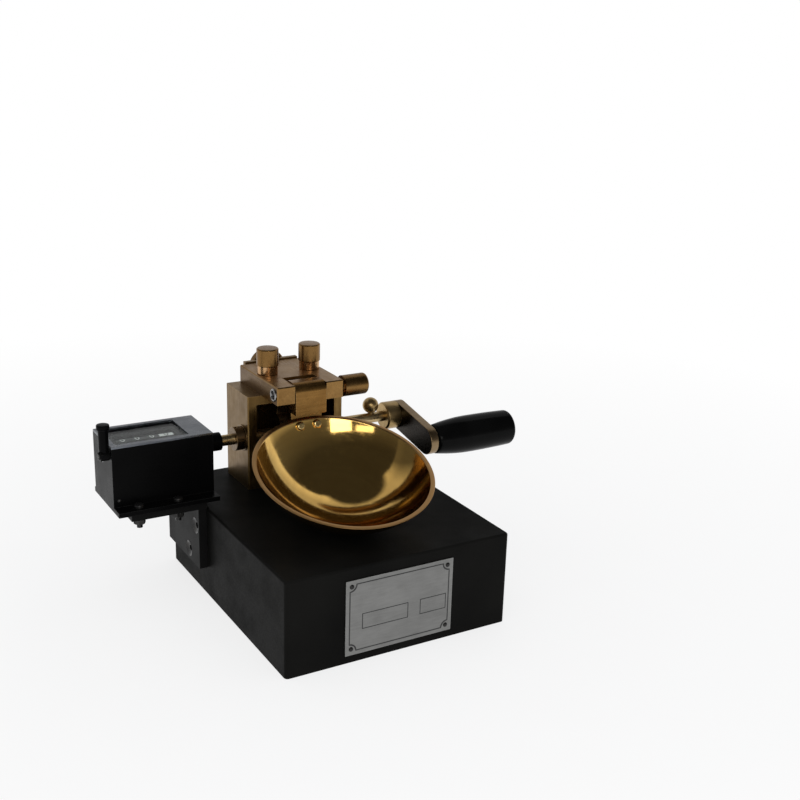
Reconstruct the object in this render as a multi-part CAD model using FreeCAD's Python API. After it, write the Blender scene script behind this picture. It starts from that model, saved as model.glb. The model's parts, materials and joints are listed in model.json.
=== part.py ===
"""Liquid limit device for soil tests, in millimetres.

X runs to the right along the front of the base, Y away from the front and Z up.
The origin is the centre of the base's underside.
"""
import FreeCAD, Part
import math
import os

os.makedirs("parts", exist_ok=True)

# Fits
running_gap = 0.03
sliding_gap = 0.03
bolt_gap = 0.3
end_play = 0.1
head_gap = 0.1
loose_gap = 0.2

# Base block
base_width = 125.0
base_depth = 150.0
base_height = 50.0
base_corner = 2.0
base_edge = 1.2
base_bolt_recess_radius = 5.0
base_bolt_recess_depth = 10.0

# Nameplate
plate_width = 60.0
plate_height = 39.5
plate_thickness = 0.6
plate_x = -1.4
plate_drop = 1.0
rivet_inset = 3.2
rivet_radius = 1.0
rivet_head_radius = 1.6
rivet_head_height = 0.6
rivet_length = 5.0

# Mechanism: its centre plane and its two axes
mech_x = -5.0
shaft_setback = 7.5
shaft_height = 28.0
shaft_radius = 3.0
hinge_lead = 23.5
hinge_drop = 4.9

# Cup
cup_mean_radius = 54.0
cup_wall = 2.0
cup_depth = 27.0
cup_back = 2.8
cup_tilt = 17.8
cup_rest_gap = 0.02
cup_screw_spread = 5.0
cup_screw_below_rim = 3.3
cup_screw_radius = 1.5
cup_screw_length = 6.5
cup_screw_head_radius = 2.4
cup_screw_head_height = 1.5
cup_screw_seat = 0.08

# Hanger and follower
hanger_width = 18.0
hanger_front = 5.0
hanger_rear = 9.0
hanger_top = 5.5
hanger_rim_gap = 3.2
hanger_round = 5.2
tongue_rear = 6.5
tongue_front = 16.0
tongue_bottom_front = 33.0
tongue_bottom_rear = 36.8
follower_width = 10.0
follower_top = 17.8
follower_bottom = 35.8
follower_screw_inset = 2.6
follower_screw_radius = 1.25
follower_screw_depth = 4.4
follower_head_radius = 2.1
follower_head_height = 1.3

# Cam
cam_width = 20.0
cam_sweep = 300.0
cam_lift = 10.0
cam_gap = 0.1
cam_steps = 36
cam_step_lean = 5.0
grub_radius = 2.0
grub_length = 6.0

# Frame
frame_left_reach = 27.5
frame_right_reach = 29.5
frame_inset = 8.0
frame_depth = 30.0
frame_cheek = 5.0
frame_back = 2.5
frame_bridge = 5.0
bridge_clear = 20.0
pocket_drop = 22.0
frame_chamfer = 0.6
frame_bolt_spread = 17.0
frame_bolt_inset = 5.0
frame_bolt_radius = 2.5
frame_bolt_spare = 0.5
frame_bolt_head_radius = 4.25
frame_bolt_head_height = 5.0

# Shaft bushes and collar
bush_radius = 5.0
bush_flange_radius = 7.2
bush_flange = 0.6
collar_radius = 6.5
collar_width = 5.0
collar_grub_radius = 1.5
collar_grub_length = 2.8

# Carriage
carriage_width = 39.0
carriage_nose = 4.5
carriage_rear_gap = 0.5
carriage_thickness = 9.7
carriage_chamfer = 0.5
carriage_travel = 3.0
fork_side_gap = 0.25
fork_clear = 3.0

# Clamp knobs
clamp_spread = 12.5
clamp_setback = 7.5
clamp_screw_radius = 2.5
clamp_slot_gap = 0.2
clamp_neck_radius = 5.6
clamp_neck_height = 4.8
clamp_head_radius = 6.0
clamp_head_height = 9.5
clamp_head_chamfer = 0.5

# Hinge pin
pin_radius = 3.5
pin_tip = 0.8
pin_knob_neck_radius = 4.4
pin_knob_neck = 1.0
pin_knob_radius = 5.8
pin_knob_length = 14.4
pin_knob_round = 1.5

# Keeper and adjusting screw
keeper_thickness = 3.0
keeper_rise = 0.8
keeper_screw_clear = 1.0
keeper_screw_margin = 5.0
keeper_screw_radius = 1.25
keeper_screw_length = 9.0
keeper_head_radius = 2.4
keeper_head_height = 1.6
adjuster_drop = 4.7
adjuster_radius = 2.5
adjuster_length = 17.0
adjuster_hole_spare = 3.0
adjuster_collar_radius = 4.2
adjuster_collar_width = 0.9
adjuster_collar_inset = 0.15
adjuster_knob_radius = 10.0
adjuster_knob_width = 6.0
adjuster_knob_gap = 0.4
adjuster_knob_chamfer = 0.8

# Crank
arm_gap = 1.2
ball_gap = 8.0
ball_radius = 4.6
ball_rise = 7.7
ball_neck_radius = 1.5
hub_radius = 8.0
hub_length = 8.7
hub_chamfer = 0.8
hub_spigot_radius = 5.0
arm_thickness = 5.0
arm_radius = 8.0
crank_throw = 33.6
crank_angle = 10.3

# Grip
spindle_radius = 3.0
spindle_shoulder_radius = 4.5
spindle_shoulder = 0.7
spindle_head_radius = 5.0
spindle_head_height = 2.5
spindle_tip_spare = 0.5
grip_length = 51.2
grip_swell_radius = 10.6
grip_swell_at = 24.0
grip_start_drop = 2.4
grip_end_drop = 0.5
grip_round = 2.0
grip_recess_depth = 4.0
grip_recess_gap = 0.4

# Counter bracket
bracket_thickness = 4.5
bracket_setback = 1.3
bracket_foot = 5.7
shelf_drop = 27.5
shelf_thickness = 4.0
shelf_inset = 7.0
shelf_front_margin = 2.7
shelf_rear_margin = 10.0
bracket_screw_radius = 2.5
bracket_screw_engagement = 12.0
bracket_head_radius = 4.4
bracket_socket_radius = 1.8
bracket_socket_depth = 1.6
upper_screw_back = 6.8
upper_screw_drop = 11.0
lower_screw_back = 17.1
lower_screw_drop = 28.3

# Counter housing
counter_overlap = 6.5
counter_spare = 5.0
counter_lead = 16.5
counter_depth = 32.0
counter_wall = 2.0
flange_thickness = 2.5
flange_margin = 4.6
flange_back = 1.5
neck_radius = 5.0
neck_length = 10.0
neck_bush_radius = 4.0
bezel_thickness = 1.2
window_thickness = 1.2
window_gap = 1.3
window_margin = 3.0
flange_screw_inset = 4.8
flange_screw_offset = 10.5
flange_screw_lead = 3.8
rear_screw_inset = 6.0
flange_screw_radius = 1.5
flange_screw_gap = 0.1
flange_screw_end = 2.1
flange_head_radius = 2.5
flange_head_height = 2.0
nut_across_flats = 5.5
nut_height = 2.4

# Counter gears and wheels
gear_module = 0.35
gear_addendum = 0.85
gear_dedendum = 1.2
gear_backlash = 0.05
gear_pressure_angle = 20.0
drive_teeth = 12
lay_gear_teeth = 40
units_gear_teeth = 39
lay_gear_width = 2.0
drive_pinion_width = 2.5
drive_pinion_inset = 6.25
centre_plate_inset = 10.0
units_gear_inset = 13.5
shaft_tip_radius = 1.2
shaft_tip_spare = 0.55
layshaft_radius = 1.2
layshaft_end_spare = 0.3
layshaft_seat = 1.0
layshaft_seat_spare = 0.2
centre_plate_thickness = 1.0
axle_radius = 1.5
axle_shoulder_radius = 3.0
wheel_radius = 8.0
wheel_width = 7.6
wheel_spacing = 0.2
wheel_hub_radius = 3.0
wheel_gap = 0.05

# Reset lever
lever_inset = 3.5
lever_drop = 3.5
lever_gap = 0.3
lever_radius = 2.3
lever_eye_radius = 3.0
lever_eye_width = 4.8
lever_rise = 16.5
lever_cap_radius = 3.4
lever_cap_height = 2.2
lever_pin_radius = 1.2
lever_pin_head_radius = 2.0
lever_pin_head = 0.9


def vec(x, y, z):
    return FreeCAD.Vector(x, y, z)


AXIS = {"x": vec(1, 0, 0), "y": vec(0, 1, 0), "z": vec(0, 0, 1)}


def block(x0, x1, y0, y1, z0, z1):
    return Part.makeBox(x1 - x0, y1 - y0, z1 - z0, vec(x0, y0, z0))


def place(axis, along, a, b):
    """A point from its distance along an axis and its two other coordinates."""
    if axis == "x":
        return vec(along, a, b)
    if axis == "y":
        return vec(a, along, b)
    return vec(a, b, along)


def rod(axis, radius, start, end, a, b):
    return Part.makeCylinder(radius, end - start, place(axis, start, a, b), AXIS[axis])


def turned(axis, steps, a, b):
    """A turned piece from steps of start, end and radius."""
    pieces = [rod(axis, radius, start, end, a, b) for start, end, radius in steps]
    whole = pieces[0]
    for piece in pieces[1:]:
        whole = whole.fuse(piece)
    return whole.removeSplitter()


def prism_x(points, x0, x1):
    """A prism along X from a closed outline of y, z points."""
    corners = [vec(x0, y, z) for y, z in points]
    outline = Part.makePolygon(corners + [corners[0]])
    return Part.Face(outline).extrude(vec(x1 - x0, 0, 0))


def cut(shape, *tools):
    for tool in tools:
        shape = shape.cut(tool)
    return shape


def edges_along(shape, direction):
    """Straight edges that run along a direction."""
    found = []
    for edge in shape.Edges:
        if edge.Curve.TypeId != "Part::GeomLine":
            continue
        if abs(abs(edge.tangentAt(edge.FirstParameter).dot(direction)) - 1) < 1e-6:
            found.append(edge)
    return found


def circles_at(shape, axis, along):
    """Round edges that lie in the plane at a distance along an axis."""
    number = {"x": 0, "y": 1, "z": 2}[axis]
    found = []
    for edge in shape.Edges:
        if edge.Curve.TypeId != "Part::GeomCircle":
            continue
        box = edge.BoundBox
        low = (box.XMin, box.YMin, box.ZMin)[number]
        high = (box.XMax, box.YMax, box.ZMax)[number]
        if abs(low - along) < 1e-6 and abs(high - along) < 1e-6:
            found.append(edge)
    return found


def save(name, *shapes):
    shape = shapes[0] if len(shapes) == 1 else Part.makeCompound(list(shapes))
    shape.exportStep("parts/%s.step" % name)


# Levels and planes that follow from the sizes above
base_left = -base_width / 2
base_right = base_width / 2
base_front = -base_depth / 2
base_rear = base_depth / 2
plate_z = base_height / 2 - plate_drop
frame_left = mech_x - frame_left_reach
frame_right = mech_x + frame_right_reach
frame_rear = base_rear - frame_inset
frame_front = frame_rear - frame_depth
shaft_y = frame_front + shaft_setback
shaft_z = base_height + shaft_height
frame_floor = shaft_height - pocket_drop
bridge_bottom = shaft_z + bridge_clear
frame_top = bridge_bottom + frame_bridge
carriage_left = mech_x - carriage_width / 2
carriage_right = mech_x + carriage_width / 2
carriage_rear = frame_rear - carriage_rear_gap
carriage_bottom = frame_top + sliding_gap
carriage_top = frame_top + carriage_thickness
hinge_y = shaft_y - hinge_lead
hinge_z = carriage_top - hinge_drop
carriage_front = hinge_y - carriage_nose
clamp_y = frame_front + clamp_setback
cup_outer = cup_mean_radius + cup_wall / 2
cup_inner = cup_mean_radius - cup_wall / 2
cup_y = hinge_y + cup_back - cup_outer
cup_z = base_height + cup_rest_gap + cup_outer
cup_centre = vec(mech_x, cup_y, cup_z)

# The counter's bracket and housing, set out from the base's left side and the shaft
bracket_left = base_left - bracket_thickness
counter_right = base_left + counter_overlap
chamber_right = counter_right - counter_wall
drive_pinion_left = chamber_right - drive_pinion_inset
centre_plate_left = chamber_right - centre_plate_inset
units_gear_left = chamber_right - units_gear_inset
units_wheel_right = units_gear_left - layshaft_end_spare - loose_gap
wheel_pitch = wheel_width + wheel_spacing
last_wheel_left = units_wheel_right - 3 * wheel_pitch - wheel_width
chamber_left = last_wheel_left - counter_spare
counter_left = chamber_left - counter_wall
counter_front = shaft_y - counter_lead
counter_rear = counter_front + counter_depth
counter_top = shaft_z + wheel_radius + window_gap + window_thickness
lever_y = counter_front + lever_inset
lever_z = counter_top - lever_drop
shelf_bottom = shaft_z - shelf_drop
shelf_top = shelf_bottom + shelf_thickness
shelf_left = counter_left + shelf_inset
front_screw_y = counter_front - flange_screw_lead
rear_screw_y = counter_rear - rear_screw_inset
shelf_front = front_screw_y - shelf_front_margin
shelf_rear = counter_rear + shelf_rear_margin
bracket_screw_places = [
    (shelf_front + upper_screw_back, base_height - upper_screw_drop),
    (shelf_front + lower_screw_back, base_height - lower_screw_drop)]

# Base block
base = block(base_left, base_right, base_front, base_rear, 0, base_height)
base = base.makeFillet(base_corner, edges_along(base, AXIS["z"]))
top_edges = [edge for edge in base.Edges if abs(edge.BoundBox.ZMin - base_height) < 1e-6]
base = base.makeFillet(base_edge, top_edges)
bolt_places = []
for side in (-1, 1):
    for y in (frame_front + frame_bolt_inset, frame_rear - frame_bolt_inset):
        bolt_places.append((mech_x + side * frame_bolt_spread, y))
for x, y in bolt_places:
    base = cut(base,
               rod("z", frame_bolt_radius + bolt_gap, 0, base_height, x, y),
               rod("z", base_bolt_recess_radius, 0, base_bolt_recess_depth, x, y))
for y, z in bracket_screw_places:
    base = cut(base, rod("x", bracket_screw_radius, base_left,
                         base_left + bracket_screw_engagement, y, z))
rivet_places = []
for side in (-1, 1):
    for level in (-1, 1):
        rivet_places.append((plate_x + side * (plate_width / 2 - rivet_inset),
                             plate_z + level * (plate_height / 2 - rivet_inset)))
for x, z in rivet_places:
    base = cut(base, rod("y", rivet_radius, base_front, base_front + rivet_length, x, z))
save("base_block", base)

# Nameplate and its rivets
plate_front = base_front - plate_thickness
plate = block(plate_x - plate_width / 2, plate_x + plate_width / 2, plate_front, base_front,
              plate_z - plate_height / 2, plate_z + plate_height / 2)
for x, z in rivet_places:
    plate = cut(plate, rod("y", rivet_radius, plate_front, base_front, x, z))
save("nameplate", plate)
rivets = [turned("y", [(plate_front - rivet_head_height, plate_front, rivet_head_radius),
                       (plate_front, base_front + rivet_length, rivet_radius)], x, z)
          for x, z in rivet_places]
save("nameplate_rivets", *rivets)

# Frame
clamp_xs = [mech_x - clamp_spread, mech_x + clamp_spread]
keeper_screw_spread = adjuster_knob_radius + keeper_screw_clear
keeper_screw_xs = [mech_x - keeper_screw_spread, mech_x + keeper_screw_spread]
keeper_screw_z = frame_top - frame_bridge / 2
frame = block(frame_left, frame_right, frame_front, frame_rear, base_height, frame_top)
frame = frame.makeChamfer(frame_chamfer, edges_along(frame, AXIS["z"]))
frame = cut(frame,
            block(frame_left + frame_cheek, frame_right - frame_cheek, frame_front,
                  frame_rear - frame_back, base_height + frame_floor, bridge_bottom),
            rod("x", bush_radius, frame_left, frame_right, shaft_y, shaft_z))
frame_bolt_tip = base_height + frame_floor - frame_bolt_spare
for x, y in bolt_places:
    frame = cut(frame, rod("z", frame_bolt_radius, base_height, frame_bolt_tip, x, y))
for x in clamp_xs:
    frame = cut(frame, rod("z", clamp_screw_radius + running_gap, bridge_bottom, frame_top,
                           x, clamp_y))
for x in keeper_screw_xs:
    frame = cut(frame, rod("y", keeper_screw_radius, frame_rear - keeper_screw_length,
                           frame_rear, x, keeper_screw_z))
save("frame_body", frame)
frame_bolts = [turned("z", [(base_bolt_recess_depth - frame_bolt_head_height,
                             base_bolt_recess_depth, frame_bolt_head_radius),
                            (base_bolt_recess_depth, frame_bolt_tip, frame_bolt_radius)],
                      x, y) for x, y in bolt_places]
save("frame_bolts", *frame_bolts)

# Shaft bushes in the two cheeks
bush_bore = shaft_radius + running_gap
left_bush = turned("x", [(frame_left - bush_flange, frame_left, bush_flange_radius),
                         (frame_left, frame_left + frame_cheek, bush_radius)],
                   shaft_y, shaft_z)
left_bush = cut(left_bush, rod("x", bush_bore, frame_left - bush_flange,
                               frame_left + frame_cheek, shaft_y, shaft_z))
save("shaft_bush_left", left_bush)
right_bush = turned("x", [(frame_right - frame_cheek, frame_right, bush_radius),
                          (frame_right, frame_right + bush_flange, bush_flange_radius)],
                    shaft_y, shaft_z)
right_bush = cut(right_bush, rod("x", bush_bore, frame_right - frame_cheek,
                                 frame_right + bush_flange, shaft_y, shaft_z))
save("shaft_bush_right", right_bush)

# Carriage: a fork plate that slides on the bridge
adjuster_z = carriage_top - adjuster_drop
fork_half = hanger_width / 2 + fork_side_gap
carriage = block(carriage_left, carriage_right, carriage_front, carriage_rear,
                 carriage_bottom, carriage_top)
outer_edges = edges_along(carriage, AXIS["z"])
outer_edges += [edge for edge in carriage.Edges
                if abs(edge.BoundBox.ZMin - carriage_top) < 1e-6]
carriage = carriage.makeChamfer(carriage_chamfer, outer_edges)
slot_radius = clamp_screw_radius + clamp_slot_gap
adjuster_tip = carriage_rear - adjuster_length
carriage = cut(carriage,
               block(mech_x - fork_half, mech_x + fork_half, carriage_front,
                     hinge_y + hanger_rear + fork_clear, carriage_bottom, carriage_top),
               rod("x", pin_radius + running_gap, carriage_left, carriage_right,
                   hinge_y, hinge_z),
               rod("y", adjuster_radius + running_gap, adjuster_tip - adjuster_hole_spare,
                   carriage_rear, mech_x, adjuster_z))
for x in clamp_xs:
    carriage = cut(carriage,
                   rod("z", slot_radius, carriage_bottom, carriage_top, x, clamp_y),
                   rod("z", slot_radius, carriage_bottom, carriage_top,
                       x, clamp_y + carriage_travel),
                   block(x - slot_radius, x + slot_radius, clamp_y,
                         clamp_y + carriage_travel, carriage_bottom, carriage_top))
save("carriage", carriage)

# Clamp knobs, each turned in one piece with its screw
clamp_seat = carriage_top + sliding_gap
clamp_shoulder = clamp_seat + clamp_neck_height
clamp_top = clamp_shoulder + clamp_head_height
for name, x in zip(("clamp_knob_left", "clamp_knob_right"), clamp_xs):
    knob = turned("z", [(bridge_bottom, clamp_seat, clamp_screw_radius),
                        (clamp_seat, clamp_shoulder, clamp_neck_radius),
                        (clamp_shoulder, clamp_top, clamp_head_radius)], x, clamp_y)
    knob = knob.makeChamfer(clamp_head_chamfer, circles_at(knob, "z", clamp_top))
    save(name, knob)

# Hinge pin and its knob
pin_right = carriage_right + end_play + pin_knob_neck + pin_knob_length
save("hinge_pin", rod("x", pin_radius, carriage_left - pin_tip, pin_right - pin_knob_round,
                      hinge_y, hinge_z))
pin_knob_left = carriage_right + end_play
pin_knob = turned("x", [(pin_knob_left, pin_knob_left + pin_knob_neck, pin_knob_neck_radius),
                        (pin_knob_left + pin_knob_neck, pin_right, pin_knob_radius)],
                  hinge_y, hinge_z)
pin_knob = pin_knob.makeFillet(pin_knob_round, circles_at(pin_knob, "x", pin_right))
pin_knob = cut(pin_knob, rod("x", pin_radius, pin_knob_left, pin_right - pin_knob_round,
                             hinge_y, hinge_z))
save("pin_knob", pin_knob)

# Keeper plate, its screws, the adjusting screw and its milled knob
keeper_rear = frame_rear + keeper_thickness
keeper_half = keeper_screw_spread + keeper_screw_margin
keeper = block(mech_x - keeper_half, mech_x + keeper_half, frame_rear, keeper_rear,
               bridge_bottom, carriage_top + keeper_rise)
collar_start = frame_rear + adjuster_collar_inset
collar_end = collar_start + adjuster_collar_width
keeper = cut(keeper,
             rod("y", adjuster_radius + running_gap, frame_rear, keeper_rear,
                 mech_x, adjuster_z),
             rod("y", adjuster_collar_radius + loose_gap, frame_rear, collar_end + end_play,
                 mech_x, adjuster_z))
for x in keeper_screw_xs:
    keeper = cut(keeper, rod("y", keeper_screw_radius, frame_rear, keeper_rear,
                             x, keeper_screw_z))
save("keeper_plate", keeper)
keeper_screws = [turned("y", [(frame_rear - keeper_screw_length, keeper_rear,
                               keeper_screw_radius),
                              (keeper_rear, keeper_rear + keeper_head_height,
                               keeper_head_radius)], x, keeper_screw_z)
                 for x in keeper_screw_xs]
save("keeper_screws", *keeper_screws)
knob_front = keeper_rear + adjuster_knob_gap
knob_rear = knob_front + adjuster_knob_width
adjuster = turned("y", [(adjuster_tip, collar_start, adjuster_radius),
                        (collar_start, collar_end, adjuster_collar_radius),
                        (collar_end, knob_rear, adjuster_radius)], mech_x, adjuster_z)
save("adjusting_screw", adjuster)
disc = rod("y", adjuster_knob_radius, knob_front, knob_rear, mech_x, adjuster_z)
disc = disc.makeChamfer(adjuster_knob_chamfer, circles_at(disc, "y", knob_rear)
                        + circles_at(disc, "y", knob_front))
disc = cut(disc, rod("y", adjuster_radius, knob_front, knob_rear, mech_x, adjuster_z))
save("adjusting_knob", disc)

# Cup: a spherical bowl, cut off at its rim plane and tilted with its front low
rim_offset = cup_outer - cup_depth


def bowl_point(radius, angle):
    """A point on the bowl's section, angle measured from the bottom of the bowl."""
    return vec(radius * math.sin(angle), 0, -radius * math.cos(angle))


outer_rim = math.acos(rim_offset / cup_outer)
inner_rim = math.acos(rim_offset / cup_inner)
outer_arc = Part.Arc(bowl_point(cup_outer, 0), bowl_point(cup_outer, outer_rim / 2),
                     bowl_point(cup_outer, outer_rim)).toShape()
inner_arc = Part.Arc(bowl_point(cup_inner, inner_rim), bowl_point(cup_inner, inner_rim / 2),
                     bowl_point(cup_inner, 0)).toShape()
rim_line = Part.makeLine(bowl_point(cup_outer, outer_rim), bowl_point(cup_inner, inner_rim))
axis_line = Part.makeLine(bowl_point(cup_inner, 0), bowl_point(cup_outer, 0))
section = Part.Face(Part.Wire([outer_arc, rim_line, inner_arc, axis_line]))
cup = section.revolve(vec(0, 0, 0), AXIS["z"], 360)
cup.rotate(vec(0, 0, 0), AXIS["x"], cup_tilt)
cup.translate(cup_centre)
screw_reach = math.sqrt(cup_inner ** 2 - cup_screw_spread ** 2)
screw_angle = inner_rim + math.radians(cup_tilt) - cup_screw_below_rim / cup_inner
cup_screw_lines = []
for side in (-1, 1):
    direction = vec(side * cup_screw_spread, screw_reach * math.sin(screw_angle),
                    -screw_reach * math.cos(screw_angle))
    direction.normalize()
    cup_screw_lines.append(direction)


def radial(direction, radius, start, end):
    """A rod along a line from the cup's centre, between two distances from it."""
    return Part.makeCylinder(radius, end - start, cup_centre + direction * start, direction)


for direction in cup_screw_lines:
    cup = cut(cup, radial(direction, cup_screw_radius, cup_inner - cup_wall,
                          cup_outer + cup_wall))
save("cup", cup)
head_seat = cup_inner - cup_screw_seat
cup_screws = []
for direction in cup_screw_lines:
    screw = radial(direction, cup_screw_head_radius, head_seat - cup_screw_head_height,
                   head_seat)
    shank = radial(direction, cup_screw_radius, head_seat, head_seat + cup_screw_length)
    cup_screws.append(screw.fuse(shank).removeSplitter())
save("cup_screws", *cup_screws)

# Hanger, cut to the back of the bowl, with the follower plate on its rear
hanger_left = mech_x - hanger_width / 2
hanger_right = mech_x + hanger_width / 2
rim_z = cup_z - cup_outer * math.cos(outer_rim + math.radians(cup_tilt))
shoulder_z = rim_z + hanger_rim_gap
head_block = block(hanger_left, hanger_right, hinge_y - hanger_front, hinge_y + hanger_rear,
                   shoulder_z, hinge_z + hanger_top)
head_edges = [edge for edge in edges_along(head_block, AXIS["x"])
              if edge.BoundBox.ZMin > hinge_z]
head_block = head_block.makeFillet(hanger_round, head_edges)
tongue_face = hinge_y + tongue_rear
tongue = prism_x([(hinge_y - tongue_front, shoulder_z),
                  (hinge_y - tongue_front, hinge_z - tongue_bottom_front),
                  (tongue_face, hinge_z - tongue_bottom_rear),
                  (tongue_face, shoulder_z)], hanger_left, hanger_right)
tongue = cut(tongue, Part.makeSphere(cup_outer, cup_centre))
hanger = head_block.fuse(tongue).removeSplitter()
hanger = cut(hanger, rod("x", pin_radius + running_gap, hanger_left, hanger_right,
                         hinge_y, hinge_z))
for direction in cup_screw_lines:
    hanger = cut(hanger, radial(direction, cup_screw_radius, cup_inner,
                                head_seat + cup_screw_length))
follower_screw_zs = [hinge_z - follower_top - follower_screw_inset,
                     hinge_z - follower_bottom + follower_screw_inset]
for z in follower_screw_zs:
    hanger = cut(hanger, rod("y", follower_screw_radius, tongue_face - follower_screw_depth,
                             tongue_face, mech_x, z))
save("hanger", hanger)
follower_face = hinge_y + hanger_rear
follower = block(mech_x - follower_width / 2, mech_x + follower_width / 2, tongue_face,
                 follower_face, hinge_z - follower_bottom, hinge_z - follower_top)
follower_seat = follower_face - head_gap - follower_head_height
follower_screws = []
for z in follower_screw_zs:
    follower = cut(follower,
                   rod("y", follower_screw_radius, tongue_face, follower_seat, mech_x, z),
                   rod("y", follower_head_radius + head_gap, follower_seat, follower_face,
                       mech_x, z))
    follower_screws.append(turned("y", [
        (tongue_face - follower_screw_depth, follower_seat, follower_screw_radius),
        (follower_seat, follower_face - head_gap, follower_head_radius)], mech_x, z))
save("follower_plate", follower)
save("follower_screws", *follower_screws)

# Cam: its outline keeps touch with the flat follower through one lift
pivot_to_shaft_y = shaft_y - hinge_y
pivot_to_shaft_z = hinge_z - shaft_z
lift_ratio = cam_lift / cam_sweep


def support(turn):
    """Distance from the shaft to the follower's face, and its rate, at a crank turn."""
    lift = turn * lift_ratio
    distance = (pivot_to_shaft_y * math.cos(lift) + pivot_to_shaft_z * math.sin(lift)
                - hanger_rear - cam_gap)
    rate = -pivot_to_shaft_y * math.sin(lift) + pivot_to_shaft_z * math.cos(lift)
    return distance, -rate * lift_ratio / (1 - lift_ratio)


def cam_point(radius, angle):
    """A point about the shaft, its angle measured upwards from the front."""
    return vec(0, shaft_y - radius * math.cos(angle), shaft_z + radius * math.sin(angle))


spiral = []
for step in range(cam_steps + 1):
    turn = math.radians(cam_sweep) * step / cam_steps
    angle = -turn * (1 - lift_ratio)
    distance, rate = support(turn)
    spiral.append(vec(0, shaft_y - distance * math.cos(angle) + rate * math.sin(angle),
                      shaft_z + distance * math.sin(angle) + rate * math.cos(angle)))
low_radius = support(0)[0]
nose_angle = math.radians(360.0) - math.radians(cam_sweep) * (1 - lift_ratio)
step_angle = nose_angle - math.radians(cam_step_lean)
spline = Part.BSplineCurve()
spline.interpolate(spiral)
low_start = cam_point(low_radius, step_angle)
low_end = cam_point(low_radius, 0)
low_arc = Part.Arc(low_start, cam_point(low_radius, step_angle / 2), low_end).toShape()
outline = Part.Wire([spline.toShape(), Part.makeLine(spiral[-1], low_start), low_arc,
                     Part.makeLine(low_end, spiral[0])])
cam_left = mech_x - cam_width / 2
cam = Part.Face(outline).extrude(vec(cam_width, 0, 0))
cam.translate(vec(cam_left, 0, 0))
grub_angle = step_angle / 2
grub_direction = cam_point(1, grub_angle) - cam_point(0, grub_angle)
grub_base = vec(mech_x, shaft_y, shaft_z)
cam = cut(cam, rod("x", shaft_radius, cam_left, cam_left + cam_width, shaft_y, shaft_z),
          Part.makeCylinder(grub_radius, low_radius + grub_radius, grub_base,
                            grub_direction))
save("cam", cam)
save("cam_grub", Part.makeCylinder(grub_radius, grub_length,
                                   grub_base + grub_direction * shaft_radius,
                                   grub_direction))

# Shaft collar with its grub screw
collar_right = frame_left - bush_flange - end_play
collar_left = collar_right - collar_width
collar_mid = (collar_left + collar_right) / 2
collar = cut(rod("x", collar_radius, collar_left, collar_right, shaft_y, shaft_z),
             rod("x", shaft_radius, collar_left, collar_right, shaft_y, shaft_z),
             rod("z", collar_grub_radius, shaft_z, shaft_z + collar_radius,
                 collar_mid, shaft_y))
save("shaft_collar", collar)
save("collar_grub", rod("z", collar_grub_radius, shaft_z + shaft_radius,
                        shaft_z + shaft_radius + collar_grub_length, collar_mid, shaft_y))

# Crankshaft, ball stud, hub and arm
hub_right = base_right + arm_gap
hub_left = hub_right - hub_length
ball_x = hub_left - ball_gap
arm_right = hub_right + arm_thickness
crankshaft = turned("x", [(drive_pinion_left - shaft_tip_spare, chamber_right,
                           shaft_tip_radius),
                          (chamber_right, arm_right, shaft_radius)], shaft_y, shaft_z)
crankshaft = cut(crankshaft, rod("z", ball_neck_radius, shaft_z, shaft_z + shaft_radius,
                                 ball_x, shaft_y))
save("crankshaft", crankshaft)
ball = Part.makeSphere(ball_radius, vec(ball_x, shaft_y, shaft_z + ball_rise))
ball = ball.fuse(rod("z", ball_neck_radius, shaft_z, shaft_z + ball_rise,
                     ball_x, shaft_y)).removeSplitter()
save("ball_stud", ball)
hub = rod("x", hub_radius, hub_left, hub_right, shaft_y, shaft_z)
hub = hub.makeChamfer(hub_chamfer, circles_at(hub, "x", hub_left))
hub = hub.fuse(rod("x", hub_spigot_radius, hub_right, arm_right, shaft_y, shaft_z))
hub = cut(hub.removeSplitter(), rod("x", shaft_radius, hub_left, arm_right,
                                    shaft_y, shaft_z))
save("crank_hub", hub)
reach_y = -math.cos(math.radians(crank_angle))
reach_z = -math.sin(math.radians(crank_angle))
grip_y = shaft_y + crank_throw * reach_y
grip_z = shaft_z + crank_throw * reach_z
side_y = -reach_z * arm_radius
side_z = reach_y * arm_radius
arm = prism_x([(shaft_y + side_y, shaft_z + side_z), (grip_y + side_y, grip_z + side_z),
               (grip_y - side_y, grip_z - side_z), (shaft_y - side_y, shaft_z - side_z)],
              hub_right, arm_right)
arm = arm.fuse(rod("x", arm_radius, hub_right, arm_right, shaft_y, shaft_z))
arm = arm.fuse(rod("x", arm_radius, hub_right, arm_right, grip_y, grip_z)).removeSplitter()
spindle_tip = hub_right + spindle_tip_spare
arm = cut(arm, rod("x", hub_spigot_radius, hub_right, arm_right, shaft_y, shaft_z),
          rod("x", spindle_radius, spindle_tip, arm_right, grip_y, grip_z))
save("crank_arm", arm)

# Grip and its spindle
grip_left = arm_right + spindle_shoulder + end_play
grip_right = grip_left + grip_length
recess_left = grip_right - grip_recess_depth
head_left = recess_left + end_play
spindle = turned("x", [(spindle_tip, arm_right, spindle_radius),
                       (arm_right, arm_right + spindle_shoulder, spindle_shoulder_radius),
                       (arm_right + spindle_shoulder, head_left, spindle_radius),
                       (head_left, head_left + spindle_head_height, spindle_head_radius)],
                 grip_y, grip_z)
save("grip_spindle", spindle)


def grip_point(along, radius):
    return vec(grip_left + along, grip_y, grip_z + radius)


def level_arc(distance, length, drop):
    """Radius near the grip's widest ring, on an arc that drops over a length."""
    arc_radius = (length ** 2 + drop ** 2) / (2 * drop)
    return grip_swell_radius - arc_radius + math.sqrt(arc_radius ** 2 - distance ** 2)


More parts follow.
